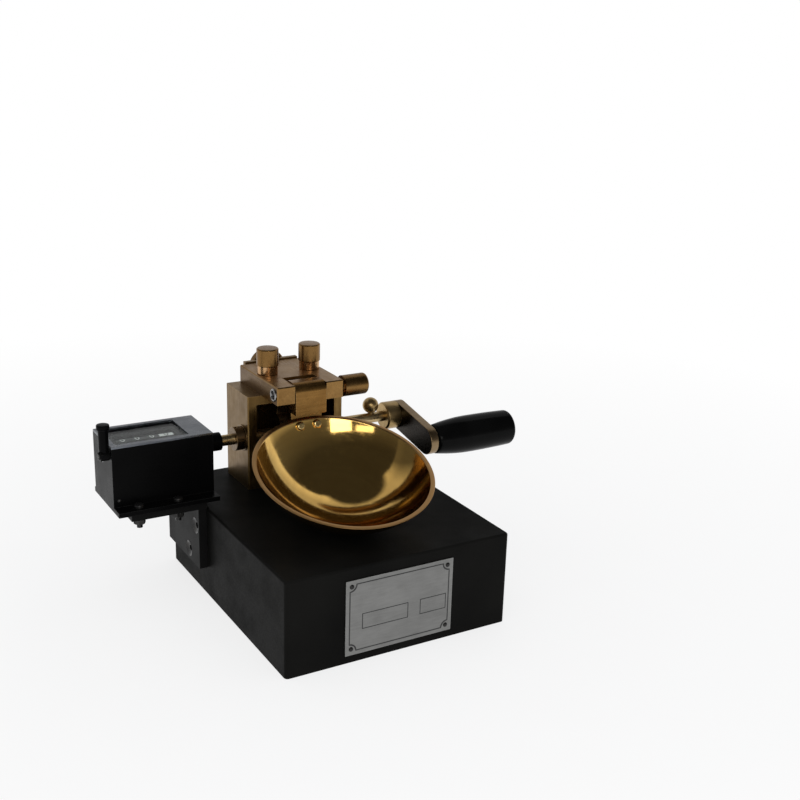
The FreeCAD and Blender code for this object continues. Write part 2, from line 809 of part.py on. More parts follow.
tail = grip_length - grip_round - grip_swell_at
grip_end_radius = grip_swell_radius - grip_end_drop
swell_start = grip_point(0, grip_swell_radius - grip_start_drop)
swell_top = grip_point(grip_swell_at, grip_swell_radius)
swell_end = grip_point(grip_length - grip_round, grip_end_radius)
rise = Part.Arc(swell_start, grip_point(grip_swell_at / 2, level_arc(
    grip_swell_at / 2, grip_swell_at, grip_start_drop)), swell_top).toShape()
fall = Part.Arc(swell_top, grip_point(grip_swell_at + tail / 2, level_arc(
    tail / 2, tail, grip_end_drop)), swell_end).toShape()
eased = grip_round * math.sqrt(0.5)
end_face = grip_point(grip_length, grip_end_radius - grip_round)
end_round = Part.Arc(swell_end, grip_point(grip_length - grip_round + eased,
                                           grip_end_radius - grip_round + eased),
                     end_face).toShape()
outline = Part.Wire([rise, fall, end_round, Part.makeLine(end_face, grip_point(grip_length, 0)),
                     Part.makeLine(grip_point(grip_length, 0), grip_point(0, 0)),
                     Part.makeLine(grip_point(0, 0), swell_start)])
grip = Part.Face(outline).revolve(grip_point(0, 0), AXIS["x"], 360)
spindle_bore = spindle_radius + running_gap
grip = cut(grip, rod("x", spindle_bore, grip_left, grip_right, grip_y, grip_z),
           rod("x", spindle_head_radius + grip_recess_gap, recess_left, grip_right,
               grip_y, grip_z))
save("grip", grip)

# Counter bracket with its two screws
bracket_bottom = bracket_screw_places[1][1] - bracket_foot
bracket = block(bracket_left, base_left, shelf_front + bracket_setback, shelf_rear,
                bracket_bottom, shelf_top)
bracket = bracket.fuse(block(shelf_left, base_left, shelf_front, shelf_rear,
                             shelf_bottom, shelf_top)).removeSplitter()
countersink = bracket_head_radius - bracket_screw_radius
bracket_screws = []
for y, z in bracket_screw_places:
    screw = Part.makeCone(bracket_head_radius, bracket_screw_radius, countersink,
                          vec(bracket_left, y, z), AXIS["x"])
    screw = screw.fuse(rod("x", bracket_screw_radius, bracket_left + countersink,
                           base_left + bracket_screw_engagement, y, z))
    bracket = cut(bracket, screw)
    socket = Part.makePolygon([
        vec(bracket_left, y + bracket_socket_radius * math.cos(math.radians(60 * corner)),
            z + bracket_socket_radius * math.sin(math.radians(60 * corner)))
        for corner in range(7)])
    bracket_screws.append(screw.cut(
        Part.Face(socket).extrude(vec(bracket_socket_depth, 0, 0))))
save("bracket_screws", *bracket_screws)
flange_screw_xs = (shelf_left + flange_screw_inset, bracket_left - flange_screw_offset)
flange_screw_places = [(x, y) for x in flange_screw_xs for y in (front_screw_y, rear_screw_y)]
for x, y in flange_screw_places:
    bracket = cut(bracket, rod("z", flange_screw_radius + flange_screw_gap, shelf_bottom,
                               shelf_top, x, y))
save("counter_bracket", bracket)

# Counter housing: an open box on a flange, with a neck for the shaft
flange_top = shelf_top + flange_thickness
chamber_front = counter_front + counter_wall
chamber_rear = counter_rear - counter_wall
housing = block(counter_left, counter_right, counter_front, counter_rear, shelf_top,
                counter_top)
housing = housing.fuse(block(counter_left, counter_right, front_screw_y - flange_margin,
                             counter_rear + flange_back, shelf_top, flange_top))
neck_right = counter_right + neck_length
housing = housing.fuse(rod("x", neck_radius, counter_right, neck_right, shaft_y, shaft_z))
housing = housing.removeSplitter()
lay_centre_distance = gear_module * (drive_teeth + lay_gear_teeth) / 2
lay_z = shaft_z - lay_centre_distance
lay_bore = layshaft_radius + running_gap
housing = cut(housing,
              block(chamber_left, chamber_right, chamber_front, chamber_rear, flange_top,
                    counter_top),
              rod("x", neck_bush_radius, chamber_right, neck_right, shaft_y, shaft_z),
              rod("x", lay_bore, chamber_right,
                  chamber_right + layshaft_seat + layshaft_seat_spare, shaft_y, lay_z),
              rod("x", axle_radius, counter_left, chamber_left, shaft_y, shaft_z),
              rod("x", lever_pin_radius, counter_left, chamber_left, lever_y, lever_z))
for x, y in flange_screw_places:
    housing = cut(housing, rod("z", flange_screw_radius + flange_screw_gap, shelf_top,
                               flange_top, x, y))
save("counter_housing", housing)
save("neck_bush", cut(rod("x", neck_bush_radius, chamber_right, neck_right,
                          shaft_y, shaft_z),
                      rod("x", bush_bore, chamber_right, neck_right, shaft_y, shaft_z)))
bezel_top = counter_top + bezel_thickness
window_left = counter_left + window_margin
bezel = cut(block(counter_left, counter_right, counter_front, counter_rear, counter_top,
                  bezel_top),
            block(window_left, centre_plate_left, counter_front + window_margin,
                  counter_rear - window_margin, counter_top, bezel_top))
save("counter_bezel", bezel)
save("counter_window", block(chamber_left, centre_plate_left, chamber_front, chamber_rear,
                             counter_top - window_thickness, counter_top))

# Flange screws with nuts below the shelf
flange_screws = []
flange_nuts = []
screw_bottom = shelf_bottom - nut_height - flange_screw_end
nut_corner = nut_across_flats / 2 / math.cos(math.radians(30))
for x, y in flange_screw_places:
    flange_screws.append(turned("z", [
        (screw_bottom, flange_top, flange_screw_radius),
        (flange_top, flange_top + flange_head_height, flange_head_radius)], x, y))
    hexagon = Part.makePolygon([
        vec(x + nut_corner * math.cos(math.radians(60 * corner)),
            y + nut_corner * math.sin(math.radians(60 * corner)),
            shelf_bottom - nut_height) for corner in range(7)])
    nut = Part.Face(hexagon).extrude(vec(0, 0, nut_height))
    flange_nuts.append(cut(nut, rod("z", flange_screw_radius, shelf_bottom - nut_height,
                                    shelf_bottom, x, y)))
save("flange_screws", *flange_screws)
save("flange_nuts", *flange_nuts)


def involute(angle):
    return math.tan(angle) - angle


def gear(teeth, x0, x1, z, bore, tooth_angle):
    """A spur gear along X with one tooth centred at an angle from +Y towards +Z."""
    pitch_radius = gear_module * teeth / 2
    base_radius = pitch_radius * math.cos(math.radians(gear_pressure_angle))
    tip = pitch_radius + gear_addendum * gear_module
    root = pitch_radius - gear_dedendum * gear_module
    half = math.pi / (2 * teeth) - gear_backlash / (2 * pitch_radius)
    half += involute(math.radians(gear_pressure_angle))
    flank = []
    for radius in (root, pitch_radius, tip):
        roll = math.acos(min(1.0, base_radius / radius))
        flank.append((radius, half - involute(roll)))
    points = []
    for tooth in range(teeth):
        centre = math.radians(tooth_angle) + 2 * math.pi * tooth / teeth
        for radius, spread in flank:
            points.append((radius, centre - spread))
        for radius, spread in reversed(flank):
            points.append((radius, centre + spread))
    outline = [(shaft_y + radius * math.cos(angle), z + radius * math.sin(angle))
               for radius, angle in points]
    return cut(prism_x(outline, x0, x1), rod("x", bore, x0, x1, shaft_y, z))


# Gear train, 10 turns of the shaft to one of the units wheel
lay_pinion_teeth = drive_teeth + lay_gear_teeth - units_gear_teeth
save("drive_pinion", gear(drive_teeth, drive_pinion_left,
                          drive_pinion_left + drive_pinion_width, shaft_z,
                          shaft_tip_radius, -90))
lay_gear_left = drive_pinion_left + (drive_pinion_width - lay_gear_width) / 2
save("lay_gear", gear(lay_gear_teeth, lay_gear_left, lay_gear_left + lay_gear_width, lay_z,
                      layshaft_radius, 90 + 180 / lay_gear_teeth))
units_gear_right = units_gear_left + lay_gear_width
save("lay_pinion", gear(lay_pinion_teeth, units_gear_left, units_gear_right, lay_z,
                        layshaft_radius, 90))
save("units_gear", gear(units_gear_teeth, units_gear_left, units_gear_right, shaft_z,
                        wheel_hub_radius, -90 + 180 / units_gear_teeth))
save("layshaft", rod("x", layshaft_radius, units_gear_left - layshaft_end_spare,
                     chamber_right + layshaft_seat, shaft_y, lay_z))
centre_plate_right = centre_plate_left + centre_plate_thickness
centre_plate = cut(block(centre_plate_left, centre_plate_right, chamber_front, chamber_rear,
                         flange_top, shaft_z + wheel_radius),
                   rod("x", axle_radius, centre_plate_left, centre_plate_right,
                       shaft_y, shaft_z),
                   rod("x", lay_bore, centre_plate_left, centre_plate_right,
                       shaft_y, lay_z))
save("centre_plate", centre_plate)

# Number wheels on a fixed axle
wheel_bore = axle_radius + wheel_gap
wheel_names = ("units_wheel", "tens_wheel", "hundreds_wheel", "thousands_wheel")
for place_number, name in enumerate(wheel_names):
    right = units_wheel_right - place_number * wheel_pitch
    left = right - wheel_width
    wheel = rod("x", wheel_radius, left, right, shaft_y, shaft_z)
    far = right
    if name == "units_wheel":
        far = units_gear_right
        wheel = wheel.fuse(rod("x", wheel_hub_radius, right, far, shaft_y, shaft_z))
        wheel = wheel.removeSplitter()
    save(name, cut(wheel, rod("x", wheel_bore, left, far, shaft_y, shaft_z)))
axle = turned("x", [(counter_left, chamber_left, axle_radius),
                    (chamber_left, last_wheel_left - loose_gap, axle_shoulder_radius),
                    (last_wheel_left - loose_gap, centre_plate_right, axle_radius)],
              shaft_y, shaft_z)
save("wheel_axle", axle)

# Reset lever on the left end of the housing
lever_right = counter_left - lever_gap
lever_left = lever_right - lever_eye_width
lever_x = (lever_left + lever_right) / 2
lever_top = lever_z + lever_rise
lever = rod("x", lever_eye_radius, lever_left, lever_right, lever_y, lever_z)
lever = lever.fuse(rod("z", lever_radius, lever_z, lever_top, lever_x, lever_y))
lever = lever.fuse(rod("z", lever_cap_radius, lever_top, lever_top + lever_cap_height,
                       lever_x, lever_y)).removeSplitter()
lever = cut(lever, rod("x", lever_pin_radius + running_gap, lever_left, lever_right,
                       lever_y, lever_z))
save("reset_lever", lever)
pin_head_right = lever_left - end_play
save("lever_pin", turned("x", [(pin_head_right - lever_pin_head, pin_head_right,
                                lever_pin_head_radius),
                               (pin_head_right, chamber_left, lever_pin_radius)],
                         lever_y, lever_z))
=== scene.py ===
import json
import math
from itertools import product
import bmesh
import bpy
from mathutils import Matrix, Vector

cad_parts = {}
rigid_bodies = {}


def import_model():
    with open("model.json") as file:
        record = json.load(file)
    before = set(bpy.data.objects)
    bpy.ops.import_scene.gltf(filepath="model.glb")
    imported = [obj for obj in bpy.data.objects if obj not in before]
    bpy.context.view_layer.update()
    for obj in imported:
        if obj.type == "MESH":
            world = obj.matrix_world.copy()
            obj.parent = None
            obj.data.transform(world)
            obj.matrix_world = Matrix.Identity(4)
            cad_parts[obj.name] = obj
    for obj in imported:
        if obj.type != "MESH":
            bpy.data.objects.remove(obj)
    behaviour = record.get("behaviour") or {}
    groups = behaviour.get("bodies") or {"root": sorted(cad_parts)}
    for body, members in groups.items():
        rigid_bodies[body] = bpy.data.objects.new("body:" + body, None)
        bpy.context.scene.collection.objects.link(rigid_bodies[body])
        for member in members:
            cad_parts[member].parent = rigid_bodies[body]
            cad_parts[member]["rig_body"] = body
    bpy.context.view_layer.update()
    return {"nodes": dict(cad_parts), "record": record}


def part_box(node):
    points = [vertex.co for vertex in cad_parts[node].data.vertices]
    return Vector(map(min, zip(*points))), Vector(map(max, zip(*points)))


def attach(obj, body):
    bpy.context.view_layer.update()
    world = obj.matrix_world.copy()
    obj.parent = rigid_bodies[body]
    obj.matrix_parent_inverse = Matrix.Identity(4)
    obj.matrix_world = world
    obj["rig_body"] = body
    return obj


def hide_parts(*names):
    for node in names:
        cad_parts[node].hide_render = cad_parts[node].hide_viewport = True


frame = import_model()
nodes = frame["nodes"]

MM = 0.001
AXIS = {"x": Vector((1, 0, 0)), "y": Vector((0, 1, 0)), "z": Vector((0, 0, 1))}

# Sizes of the device that the dressing follows, in millimetres
mech_x = -5.0
hinge_y = 21.0
hinge_z = 107.8
shaft_y = 44.5
shaft_z = 78.0
cup_reach = 52.2
cup_level = 105.02
cup_centre = Vector((mech_x, hinge_y - cup_reach, cup_level)) * MM
cup_outer = 55.0 * MM
cup_inner = 53.0 * MM
rim_offset = 28.0 * MM
cup_tilt = math.radians(17.8)
cup_axis = Vector((0, -math.sin(cup_tilt), math.cos(cup_tilt)))


# Node helpers for materials
def new_material(name):
    material = bpy.data.materials.new(name)
    material.use_nodes = True
    tree = material.node_tree
    tree.nodes.clear()
    output = tree.nodes.new("ShaderNodeOutputMaterial")
    shader = tree.nodes.new("ShaderNodeBsdfPrincipled")
    tree.links.new(shader.outputs["BSDF"], output.inputs["Surface"])
    coords = tree.nodes.new("ShaderNodeTexCoord")
    return material, tree, shader, coords.outputs["Object"]


def noise(tree, vector, scale, detail=3.0, stretch=(1, 1, 1), shift=(0, 0, 0)):
    mapping = tree.nodes.new("ShaderNodeMapping")
    mapping.inputs["Scale"].default_value = stretch
    mapping.inputs["Location"].default_value = shift
    tree.links.new(vector, mapping.inputs["Vector"])
    node = tree.nodes.new("ShaderNodeTexNoise")
    node.inputs["Scale"].default_value = scale
    node.inputs["Detail"].default_value = detail
    tree.links.new(mapping.outputs["Vector"], node.inputs["Vector"])
    return node.outputs["Fac"]


def remap(tree, value, low, high, to_low, to_high):
    node = tree.nodes.new("ShaderNodeMapRange")
    node.inputs["From Min"].default_value = low
    node.inputs["From Max"].default_value = high
    node.inputs["To Min"].default_value = to_low
    node.inputs["To Max"].default_value = to_high
    tree.links.new(value, node.inputs["Value"])
    return node.outputs["Result"]


def calculate(tree, operation, first, second=None):
    node = tree.nodes.new("ShaderNodeMath")
    node.operation = operation
    for number, value in enumerate((first, second)):
        if value is None:
            continue
        if isinstance(value, (int, float)):
            node.inputs[number].default_value = value
        else:
            tree.links.new(value, node.inputs[number])
    return node.outputs[0]


def vector_math(tree, operation, first, second=None):
    """What an operation makes of a socket and, as second, a constant or a socket."""
    node = tree.nodes.new("ShaderNodeVectorMath")
    node.operation = operation
    tree.links.new(first, node.inputs[0])
    if isinstance(second, (Vector, tuple)):
        node.inputs[1].default_value = second
    elif second is not None:
        tree.links.new(second, node.inputs[1])
    return next(socket for socket in node.outputs if socket.enabled)


def chosen(tree, factor, first, second):
    """The first shader where factor is 0 and the second where it is 1."""
    node = tree.nodes.new("ShaderNodeMixShader")
    tree.links.new(factor, node.inputs[0])
    tree.links.new(first, node.inputs[1])
    tree.links.new(second, node.inputs[2])
    return node.outputs[0]


def mixed(tree, factor, first, second):
    node = tree.nodes.new("ShaderNodeMix")
    node.data_type = "RGBA"
    tree.links.new(factor, node.inputs[0])
    for number, colour in ((6, first), (7, second)):
        if isinstance(colour, tuple):
            node.inputs[number].default_value = (*colour, 1)
        else:
            tree.links.new(colour, node.inputs[number])
    return node.outputs[2]


def bump(tree, height, depth, normal=None):
    node = tree.nodes.new("ShaderNodeBump")
    node.inputs["Distance"].default_value = depth
    node.inputs["Strength"].default_value = 1.0
    tree.links.new(height, node.inputs["Height"])
    if normal is not None:
        tree.links.new(normal, node.inputs["Normal"])
    return node.outputs["Normal"]


def edge_mask(tree, width):
    """1 on edges and 0 on open faces, from how far a rounded normal leans away."""
    bevel = tree.nodes.new("ShaderNodeBevel")
    bevel.samples = 4
    bevel.inputs["Radius"].default_value = width
    geometry = tree.nodes.new("ShaderNodeNewGeometry")
    lean = vector_math(tree, "DOT_PRODUCT", bevel.outputs["Normal"],
                       geometry.outputs["Normal"])
    return remap(tree, lean, 0.99, 0.86, 0.0, 1.0)


def from_axis(tree, coords, centre, axis):
    """Distance of a point from a line through centre along axis."""
    away = vector_math(tree, "SUBTRACT", coords, centre)
    cross = vector_math(tree, "CROSS_PRODUCT", away, axis)
    return vector_math(tree, "LENGTH", cross)


def along_x(tree):
    """How far a face looks along x, to the left or to the right; the painted side shade
    follows it.
    """
    geometry = tree.nodes.new("ShaderNodeNewGeometry")
    parts = tree.nodes.new("ShaderNodeSeparateXYZ")
    tree.links.new(geometry.outputs["Normal"], parts.inputs["Vector"])
    return calculate(tree, "ABSOLUTE", parts.outputs["X"])


def ring_noise(tree, distance, scale, detail=2.0):
    node = tree.nodes.new("ShaderNodeTexNoise")
    node.noise_dimensions = "1D"
    node.inputs["Scale"].default_value = scale
    node.inputs["Detail"].default_value = detail
    tree.links.new(distance, node.inputs["W"])
    return node.outputs["Fac"]


def surface(name, colour, second, rough, metallic=0.0, blotch=45.0, fine=900.0,
            stretch=(1, 1, 1), depth=0.00001, edge=None, edge_width=0.0005,
            grain_tint=0.25, specular=None, sides=0.0):
    """A worn surface: patchy colour, fine grain in colour, gloss and height, rubbed edges.
    sides is how much painted shade darkens the faces that look along x."""
    material, tree, shader, coords = new_material(name)
    patches = noise(tree, coords, blotch, 4.0)
    grain = noise(tree, coords, fine, 3.0, stretch)
    smudge = noise(tree, coords, blotch * 3.1, 5.0, shift=(3, 7, 1))
    tone = mixed(tree, remap(tree, patches, 0.35, 0.65, 0.0, 1.0), colour, second)
    darker = tuple(part * 0.6 for part in second)
    tone = mixed(tree, remap(tree, grain, 0.35, 0.75, 0.0, grain_tint), tone, darker)
    gloss = calculate(tree, "ADD", remap(tree, grain, 0.3, 0.7, rough[0], rough[1]),
                      remap(tree, smudge, 0.4, 0.7, -0.04, 0.07))
    # Painted shade: faces that look along x blend towards a near-black copy of the second
    # colour.
    if sides:
        painted_side_shade_tone = tuple(part * 0.12 for part in second)
        tone = mixed(tree, remap(tree, along_x(tree), 0.8, 0.98, 0.0, sides), tone, painted_side_shade_tone)
    if edge is not None:
        mask = edge_mask(tree, edge_width)
        rubbed = calculate(tree, "MULTIPLY", mask,
                           remap(tree, smudge, 0.38, 0.6, 0.25, 1.0))
        tone = mixed(tree, rubbed, tone, edge)
    tree.links.new(tone, shader.inputs["Base Color"])
    tree.links.new(gloss, shader.inputs["Roughness"])
    tree.links.new(bump(tree, grain, depth), shader.inputs["Normal"])
    shader.inputs["Metallic"].default_value = metallic
    if specular is not None:
        shader.inputs["Specular IOR Level"].default_value = specular
    return material


def spun_brass(name):
    """Polished brass bowl with faint spinning rings, soft smudges and a browner rim."""
    material, tree, shader, coords = new_material(name)
    distance = from_axis(tree, coords, cup_centre, cup_axis)
    rings = ring_noise(tree, distance, 1500.0, 3.0)
    broad = ring_noise(tree, distance, 160.0, 2.0)
    patches = noise(tree, coords, 34.0, 4.0)
    scuffs = noise(tree, coords, 420.0, 5.0, (1.0, 0.35, 1.0))
    tone = mixed(tree, remap(tree, patches, 0.3, 0.7, 0.0, 1.0),
                 (0.80, 0.52, 0.16), (0.72, 0.44, 0.12))
    tone = mixed(tree, remap(tree, broad, 0.35, 0.7, 0.0, 0.3), tone, (0.50, 0.29, 0.08))
    along = vector_math(tree, "DOT_PRODUCT", coords, cup_axis)
    rim_height = cup_centre.dot(cup_axis) - rim_offset
    rim = remap(tree, along, rim_height - 0.0006, rim_height - 0.0002, 0.0, 1.0)
    tone = mixed(tree, rim, tone, (0.42, 0.24, 0.095))
    gloss = calculate(tree, "ADD", remap(tree, rings, 0.3, 0.7, 0.06, 0.11),
                      remap(tree, scuffs, 0.5, 0.75, 0.0, 0.07))
    gloss = calculate(tree, "ADD", gloss, calculate(tree, "MULTIPLY", rim, 0.22))
    tree.links.new(tone, shader.inputs["Base Color"])
    tree.links.new(gloss, shader.inputs["Roughness"])
    normal = bump(tree, rings, 0.000002)
    tree.links.new(bump(tree, broad, 0.00001, normal), shader.inputs["Normal"])
    shader.inputs["Metallic"].default_value = 1.0
    return material


def clear_glass(name):
    """Thin clear pane with dust."""
    material, tree, shader, coords = new_material(name)
    dust = noise(tree, coords, 260.0, 5.0)
    tree.links.new(remap(tree, dust, 0.4, 0.75, 0.0, 0.03), shader.inputs["Roughness"])
    tint = mixed(tree, remap(tree, dust, 0.4, 0.8, 0.0, 1.0), (0.86, 0.90, 0.89),
                 (0.74, 0.78, 0.77))
    tree.links.new(tint, shader.inputs["Base Color"])
    shader.inputs["Transmission Weight"].default_value = 1.0
    shader.inputs["IOR"].default_value = 1.16
    clear = tree.nodes.new("ShaderNodeBsdfTransparent")
    clear.inputs["Color"].default_value = (0.92, 0.94, 0.93, 1)
    path = tree.nodes.new("ShaderNodeLightPath")
    lit = calculate(tree, "MAXIMUM", path.outputs["Is Shadow Ray"],
                    path.outputs["Is Diffuse Ray"])
    tree.links.new(chosen(tree, lit, shader.outputs["BSDF"], clear.outputs["BSDF"]),
                   tree.nodes["Material Output"].inputs["Surface"])
    return material


def blackened_arm(name):
    """Arm with painted shade on its flats, the faces along x, milled along its edge and
    rubbed bright at the corners.
    """
    material, tree, shader, coords = new_material(name)
    patches = noise(tree, coords, 90.0, 4.0)
    grain = noise(tree, coords, 1100.0, 3.0, (0.08, 1, 1))
    # Painted shade: the flats that face along x take a near-black tone in place of the lit
    # brass tone.
    flat = remap(tree, along_x(tree), 0.8, 0.98, 0.0, 1.0)
    dark = mixed(tree, remap(tree, patches, 0.3, 0.7, 0.0, 1.0), (0.020, 0.014, 0.008),
                 (0.012, 0.008, 0.005))
    light = mixed(tree, remap(tree, patches, 0.3, 0.7, 0.0, 1.0), (0.30, 0.215, 0.125),
                  (0.22, 0.15, 0.08))
    tone = mixed(tree, flat, light, dark)
    tone = mixed(tree, edge_mask(tree, 0.0005), tone, (0.50, 0.38, 0.23))
    tree.links.new(tone, shader.inputs["Base Color"])
    tree.links.new(remap(tree, grain, 0.3, 0.7, 0.24, 0.38), shader.inputs["Roughness"])
    tree.links.new(bump(tree, grain, 0.000008), shader.inputs["Normal"])
    shader.inputs["Metallic"].default_value = 1.0
    return material


def brass(name, light, dark, rough, stretch, blotch=60.0, edge=(0.46, 0.30, 0.13),
          sides=0.0):
    """Cut brass that has darkened, with tool marks along one direction; sides sets the
    painted shade on the faces along x.
    """
    return surface(name, light, dark, rough, metallic=1.0, blotch=blotch, fine=1100.0,
                   stretch=stretch, depth=0.000006, edge=edge, edge_width=0.0004,
                   grain_tint=0.16, sides=sides)


def smooth_brass(name, light, dark, rough, blotch=90.0):
    """Turned or knurled brass with an even, fine finish."""
    return surface(name, light, dark, rough, metallic=1.0, blotch=blotch, fine=1500.0,
                   depth=0.000002, grain_tint=0.10)


rubber = surface("hard_rubber", (0.0050, 0.0050, 0.0047), (0.0085, 0.0083, 0.0076),
                 (0.40, 0.52), blotch=22.0, fine=1400.0, depth=0.000010,
                 edge=(0.030, 0.030, 0.028), edge_width=0.0007, specular=0.025)
satin_plate = surface("satin_plate", (0.24, 0.24, 0.234), (0.21, 0.21, 0.205),
                      (0.40, 0.5), metallic=1.0, blotch=40.0, fine=1300.0,
                      stretch=(0.12, 1, 1), depth=0.000003, edge=(0.40, 0.40, 0.39),
                      grain_tint=0.10)
rivet_metal = surface("rivet_metal", (0.045, 0.045, 0.044), (0.03, 0.03, 0.029), (0.3, 0.42),
                      metallic=1.0, blotch=200.0, fine=1600.0, depth=0.000004)
# The sides shares paint shade on the faces along x of the frame and the carriage.
milled_brass = brass("milled_brass", (0.240, 0.148, 0.052), (0.195, 0.116, 0.038),
                     (0.30, 0.42), (1, 1, 0.05), sides=0.22)
carriage_brass = brass("carriage_brass", (0.31, 0.178, 0.062), (0.255, 0.14, 0.046),
                       (0.28, 0.40), (1, 0.05, 1), sides=0.62)
hanger_brass = brass("hanger_brass", (0.27, 0.145, 0.043), (0.215, 0.11, 0.031),
                     (0.22, 0.34), (0.06, 1, 1), 70.0)
knob_brass = smooth_brass("knob_brass", (0.24, 0.135, 0.046), (0.20, 0.108, 0.035),
                          (0.24, 0.32), 50.0)
neck_brass = smooth_brass("neck_brass", (0.62, 0.38, 0.19), (0.52, 0.31, 0.15),
                          (0.20, 0.28))
# The sides share paints shade on the faces along x of the drive parts.
drive_brass = brass("drive_brass", (0.29, 0.19, 0.095), (0.22, 0.14, 0.066), (0.26, 0.36),
                    (0.08, 1, 1), 90.0, sides=0.45)
bright_brass = smooth_brass("bright_brass", (0.46, 0.32, 0.145), (0.38, 0.26, 0.11),
                            (0.30, 0.40))
arm_brass = blackened_arm("arm_brass")
shaft_brass = smooth_brass("shaft_brass", (0.58, 0.43, 0.22), (0.48, 0.35, 0.17),
                           (0.26, 0.36))
screw_brass = brass("screw_brass", (0.62, 0.46, 0.20), (0.50, 0.35, 0.14), (0.14, 0.24),
                    (1, 1, 1), 200.0, (0.9, 0.75, 0.45))
cup_brass = spun_brass("cup_brass")
steel = surface("machined_steel", (0.40, 0.40, 0.40), (0.32, 0.32, 0.32), (0.22, 0.32),
                metallic=1.0, blotch=60.0, fine=1500.0, depth=0.000003,
                edge=(0.8, 0.8, 0.8), edge_width=0.0003, grain_tint=0.1)
black_oxide = surface("black_oxide", (0.024, 0.024, 0.025), (0.04, 0.038, 0.036),
                      (0.22, 0.36), metallic=0.8, blotch=160.0, fine=1500.0,
                      depth=0.000005, edge=(0.14, 0.14, 0.14), edge_width=0.0003)
black_paint = surface("black_paint", (0.0014, 0.0014, 0.0015), (0.0028, 0.0028, 0.0028),
                      (0.26, 0.34), blotch=18.0, fine=1500.0, depth=0.000003,
                      edge=(0.02, 0.02, 0.02), edge_width=0.0004, specular=0.042,
                      grain_tint=0.1)
bracket_paint = surface("bracket_paint", (0.0065, 0.0065, 0.0065), (0.010, 0.010, 0.0096),
                        (0.32, 0.42), blotch=20.0, fine=1300.0, depth=0.000006,
                        edge=(0.03, 0.03, 0.029), edge_width=0.0004, specular=0.028,
                        grain_tint=0.12)
satin_silver = surface("satin_silver", (0.17, 0.182, 0.205), (0.145, 0.156, 0.176),
                       (0.26, 0.38), metallic=1.0, blotch=60.0, fine=1000.0,
                       stretch=(0.06, 1, 1), depth=0.000005, edge=(0.5, 0.51, 0.53),
                       edge_width=0.0003)
grip_plastic = surface("grip_plastic", (0.0022, 0.0022, 0.0022), (0.0036, 0.0036, 0.0036),
                       (0.14, 0.24), blotch=60.0, fine=500.0, depth=0.000006,
                       specular=0.06)
wheel_black = surface("wheel_black", (0.02, 0.02, 0.02), (0.03, 0.03, 0.03), (0.35, 0.5),
                      blotch=150.0, fine=1500.0, depth=0.000004)
wheel_white = surface("wheel_white", (0.82, 0.82, 0.80), (0.76, 0.76, 0.73), (0.35, 0.5),
                      blotch=150.0, fine=1500.0, depth=0.000004, grain_tint=0.1)
print_black = surface("print_black", (0.012, 0.012, 0.012), (0.02, 0.02, 0.02), (0.4, 0.55),
                      blotch=200.0, fine=1500.0, depth=0.000003)
gear_brass = brass("gear_brass", (0.62, 0.43, 0.18), (0.5, 0.33, 0.13), (0.25, 0.38),
                   (1, 1, 1), 150.0)
window_glass = clear_glass("clear_window")

slot_of = {entry["node"]: entry["material_slot"] for entry in frame["record"]["subparts"]}
slot_material = {
    "hard_rubber": rubber, "plate": satin_plate, "rivet": rivet_metal,
    "frame_brass": milled_brass, "cup_brass": cup_brass, "knob_brass": knob_brass,
    "drive_brass": drive_brass, "steel": steel, "dark_steel": black_oxide,
    "black_paint": black_paint, "bezel": satin_silver, "window": window_glass,
    "wheels": wheel_black, "gear_brass": gear_brass, "grip_plastic": grip_plastic,
}
node_material = {"carriage": carriage_brass, "hanger": hanger_brass,
                 "counter_bracket": bracket_paint, "units_wheel": wheel_white,
                 "crankshaft": shaft_brass, "cup_screws": screw_brass,
                 "crank_hub": bright_brass, "ball_stud": bright_brass,
                 "crank_arm": arm_brass, "flange_nuts": black_oxide,
                 "flange_screws": black_oxide, "lever_pin": black_oxide}


def material_for(node):
    return node_material.get(node, slot_material[slot_of[node]])


def wear(piece, material):
    piece.data.materials.clear()
    piece.data.materials.append(material)


for name, node in nodes.items():
    wear(node, material_for(name))


# Mesh helpers
def piece_from(mesh_data, name):
    """A linked object whose mesh comes from bmesh data, which is freed."""
    mesh = bpy.data.meshes.new(name)
    mesh_data.to_mesh(mesh)
    mesh_data.free()
    piece = bpy.data.objects.new(name, mesh)
    bpy.context.scene.collection.objects.link(piece)
    return piece


def finished(piece, node, sharp=35.0, smooth=True, material=None):
    """Shades a piece, gives it its material and sets it in place of a CAD node."""
    mesh = piece.data
    if smooth:
        mesh.shade_smooth()
        mesh.set_sharp_from_angle(angle=math.radians(sharp))
    wear(piece, material or material_for(node))
    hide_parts(node)
    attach(piece, nodes[node]["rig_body"])
    return piece


def added(piece, body, material):
    """Shades an extra piece and lets it ride on a body."""
    piece.data.shade_smooth()
    piece.data.set_sharp_from_angle(angle=math.radians(35.0))
    wear(piece, material)
    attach(piece, body)
    return piece


def in_metres(outline):
    """An outline of (along, radius) points in millimetres, in the frame's metres."""
    return [(along * MM, radius * MM) for along, radius in outline]


def triangle_wave(value):
    value = value % 1.0
    return 1.0 - abs(2.0 * value - 1.0)


def soften(points, radius, steps=3):
    """Rounds the corners of an open outline of (along, radius) points."""
    result = [points[0]]
    for before, here, after in zip(points, points[1:], points[2:]):
        into = Vector(before) - Vector(here)
        out = Vector(after) - Vector(here)
        reach = min(radius, into.length * 0.45, out.length * 0.45)
        start = Vector(here) + into.normalized() * reach
        end = Vector(here) + out.normalized() * reach
        for step in range(steps + 1):
            t = step / steps
            middle = start.lerp(Vector(here), t).lerp(Vector(here).lerp(end, t), t)
            result.append((middle.x, middle.y))
    result.append(points[-1])
    return result


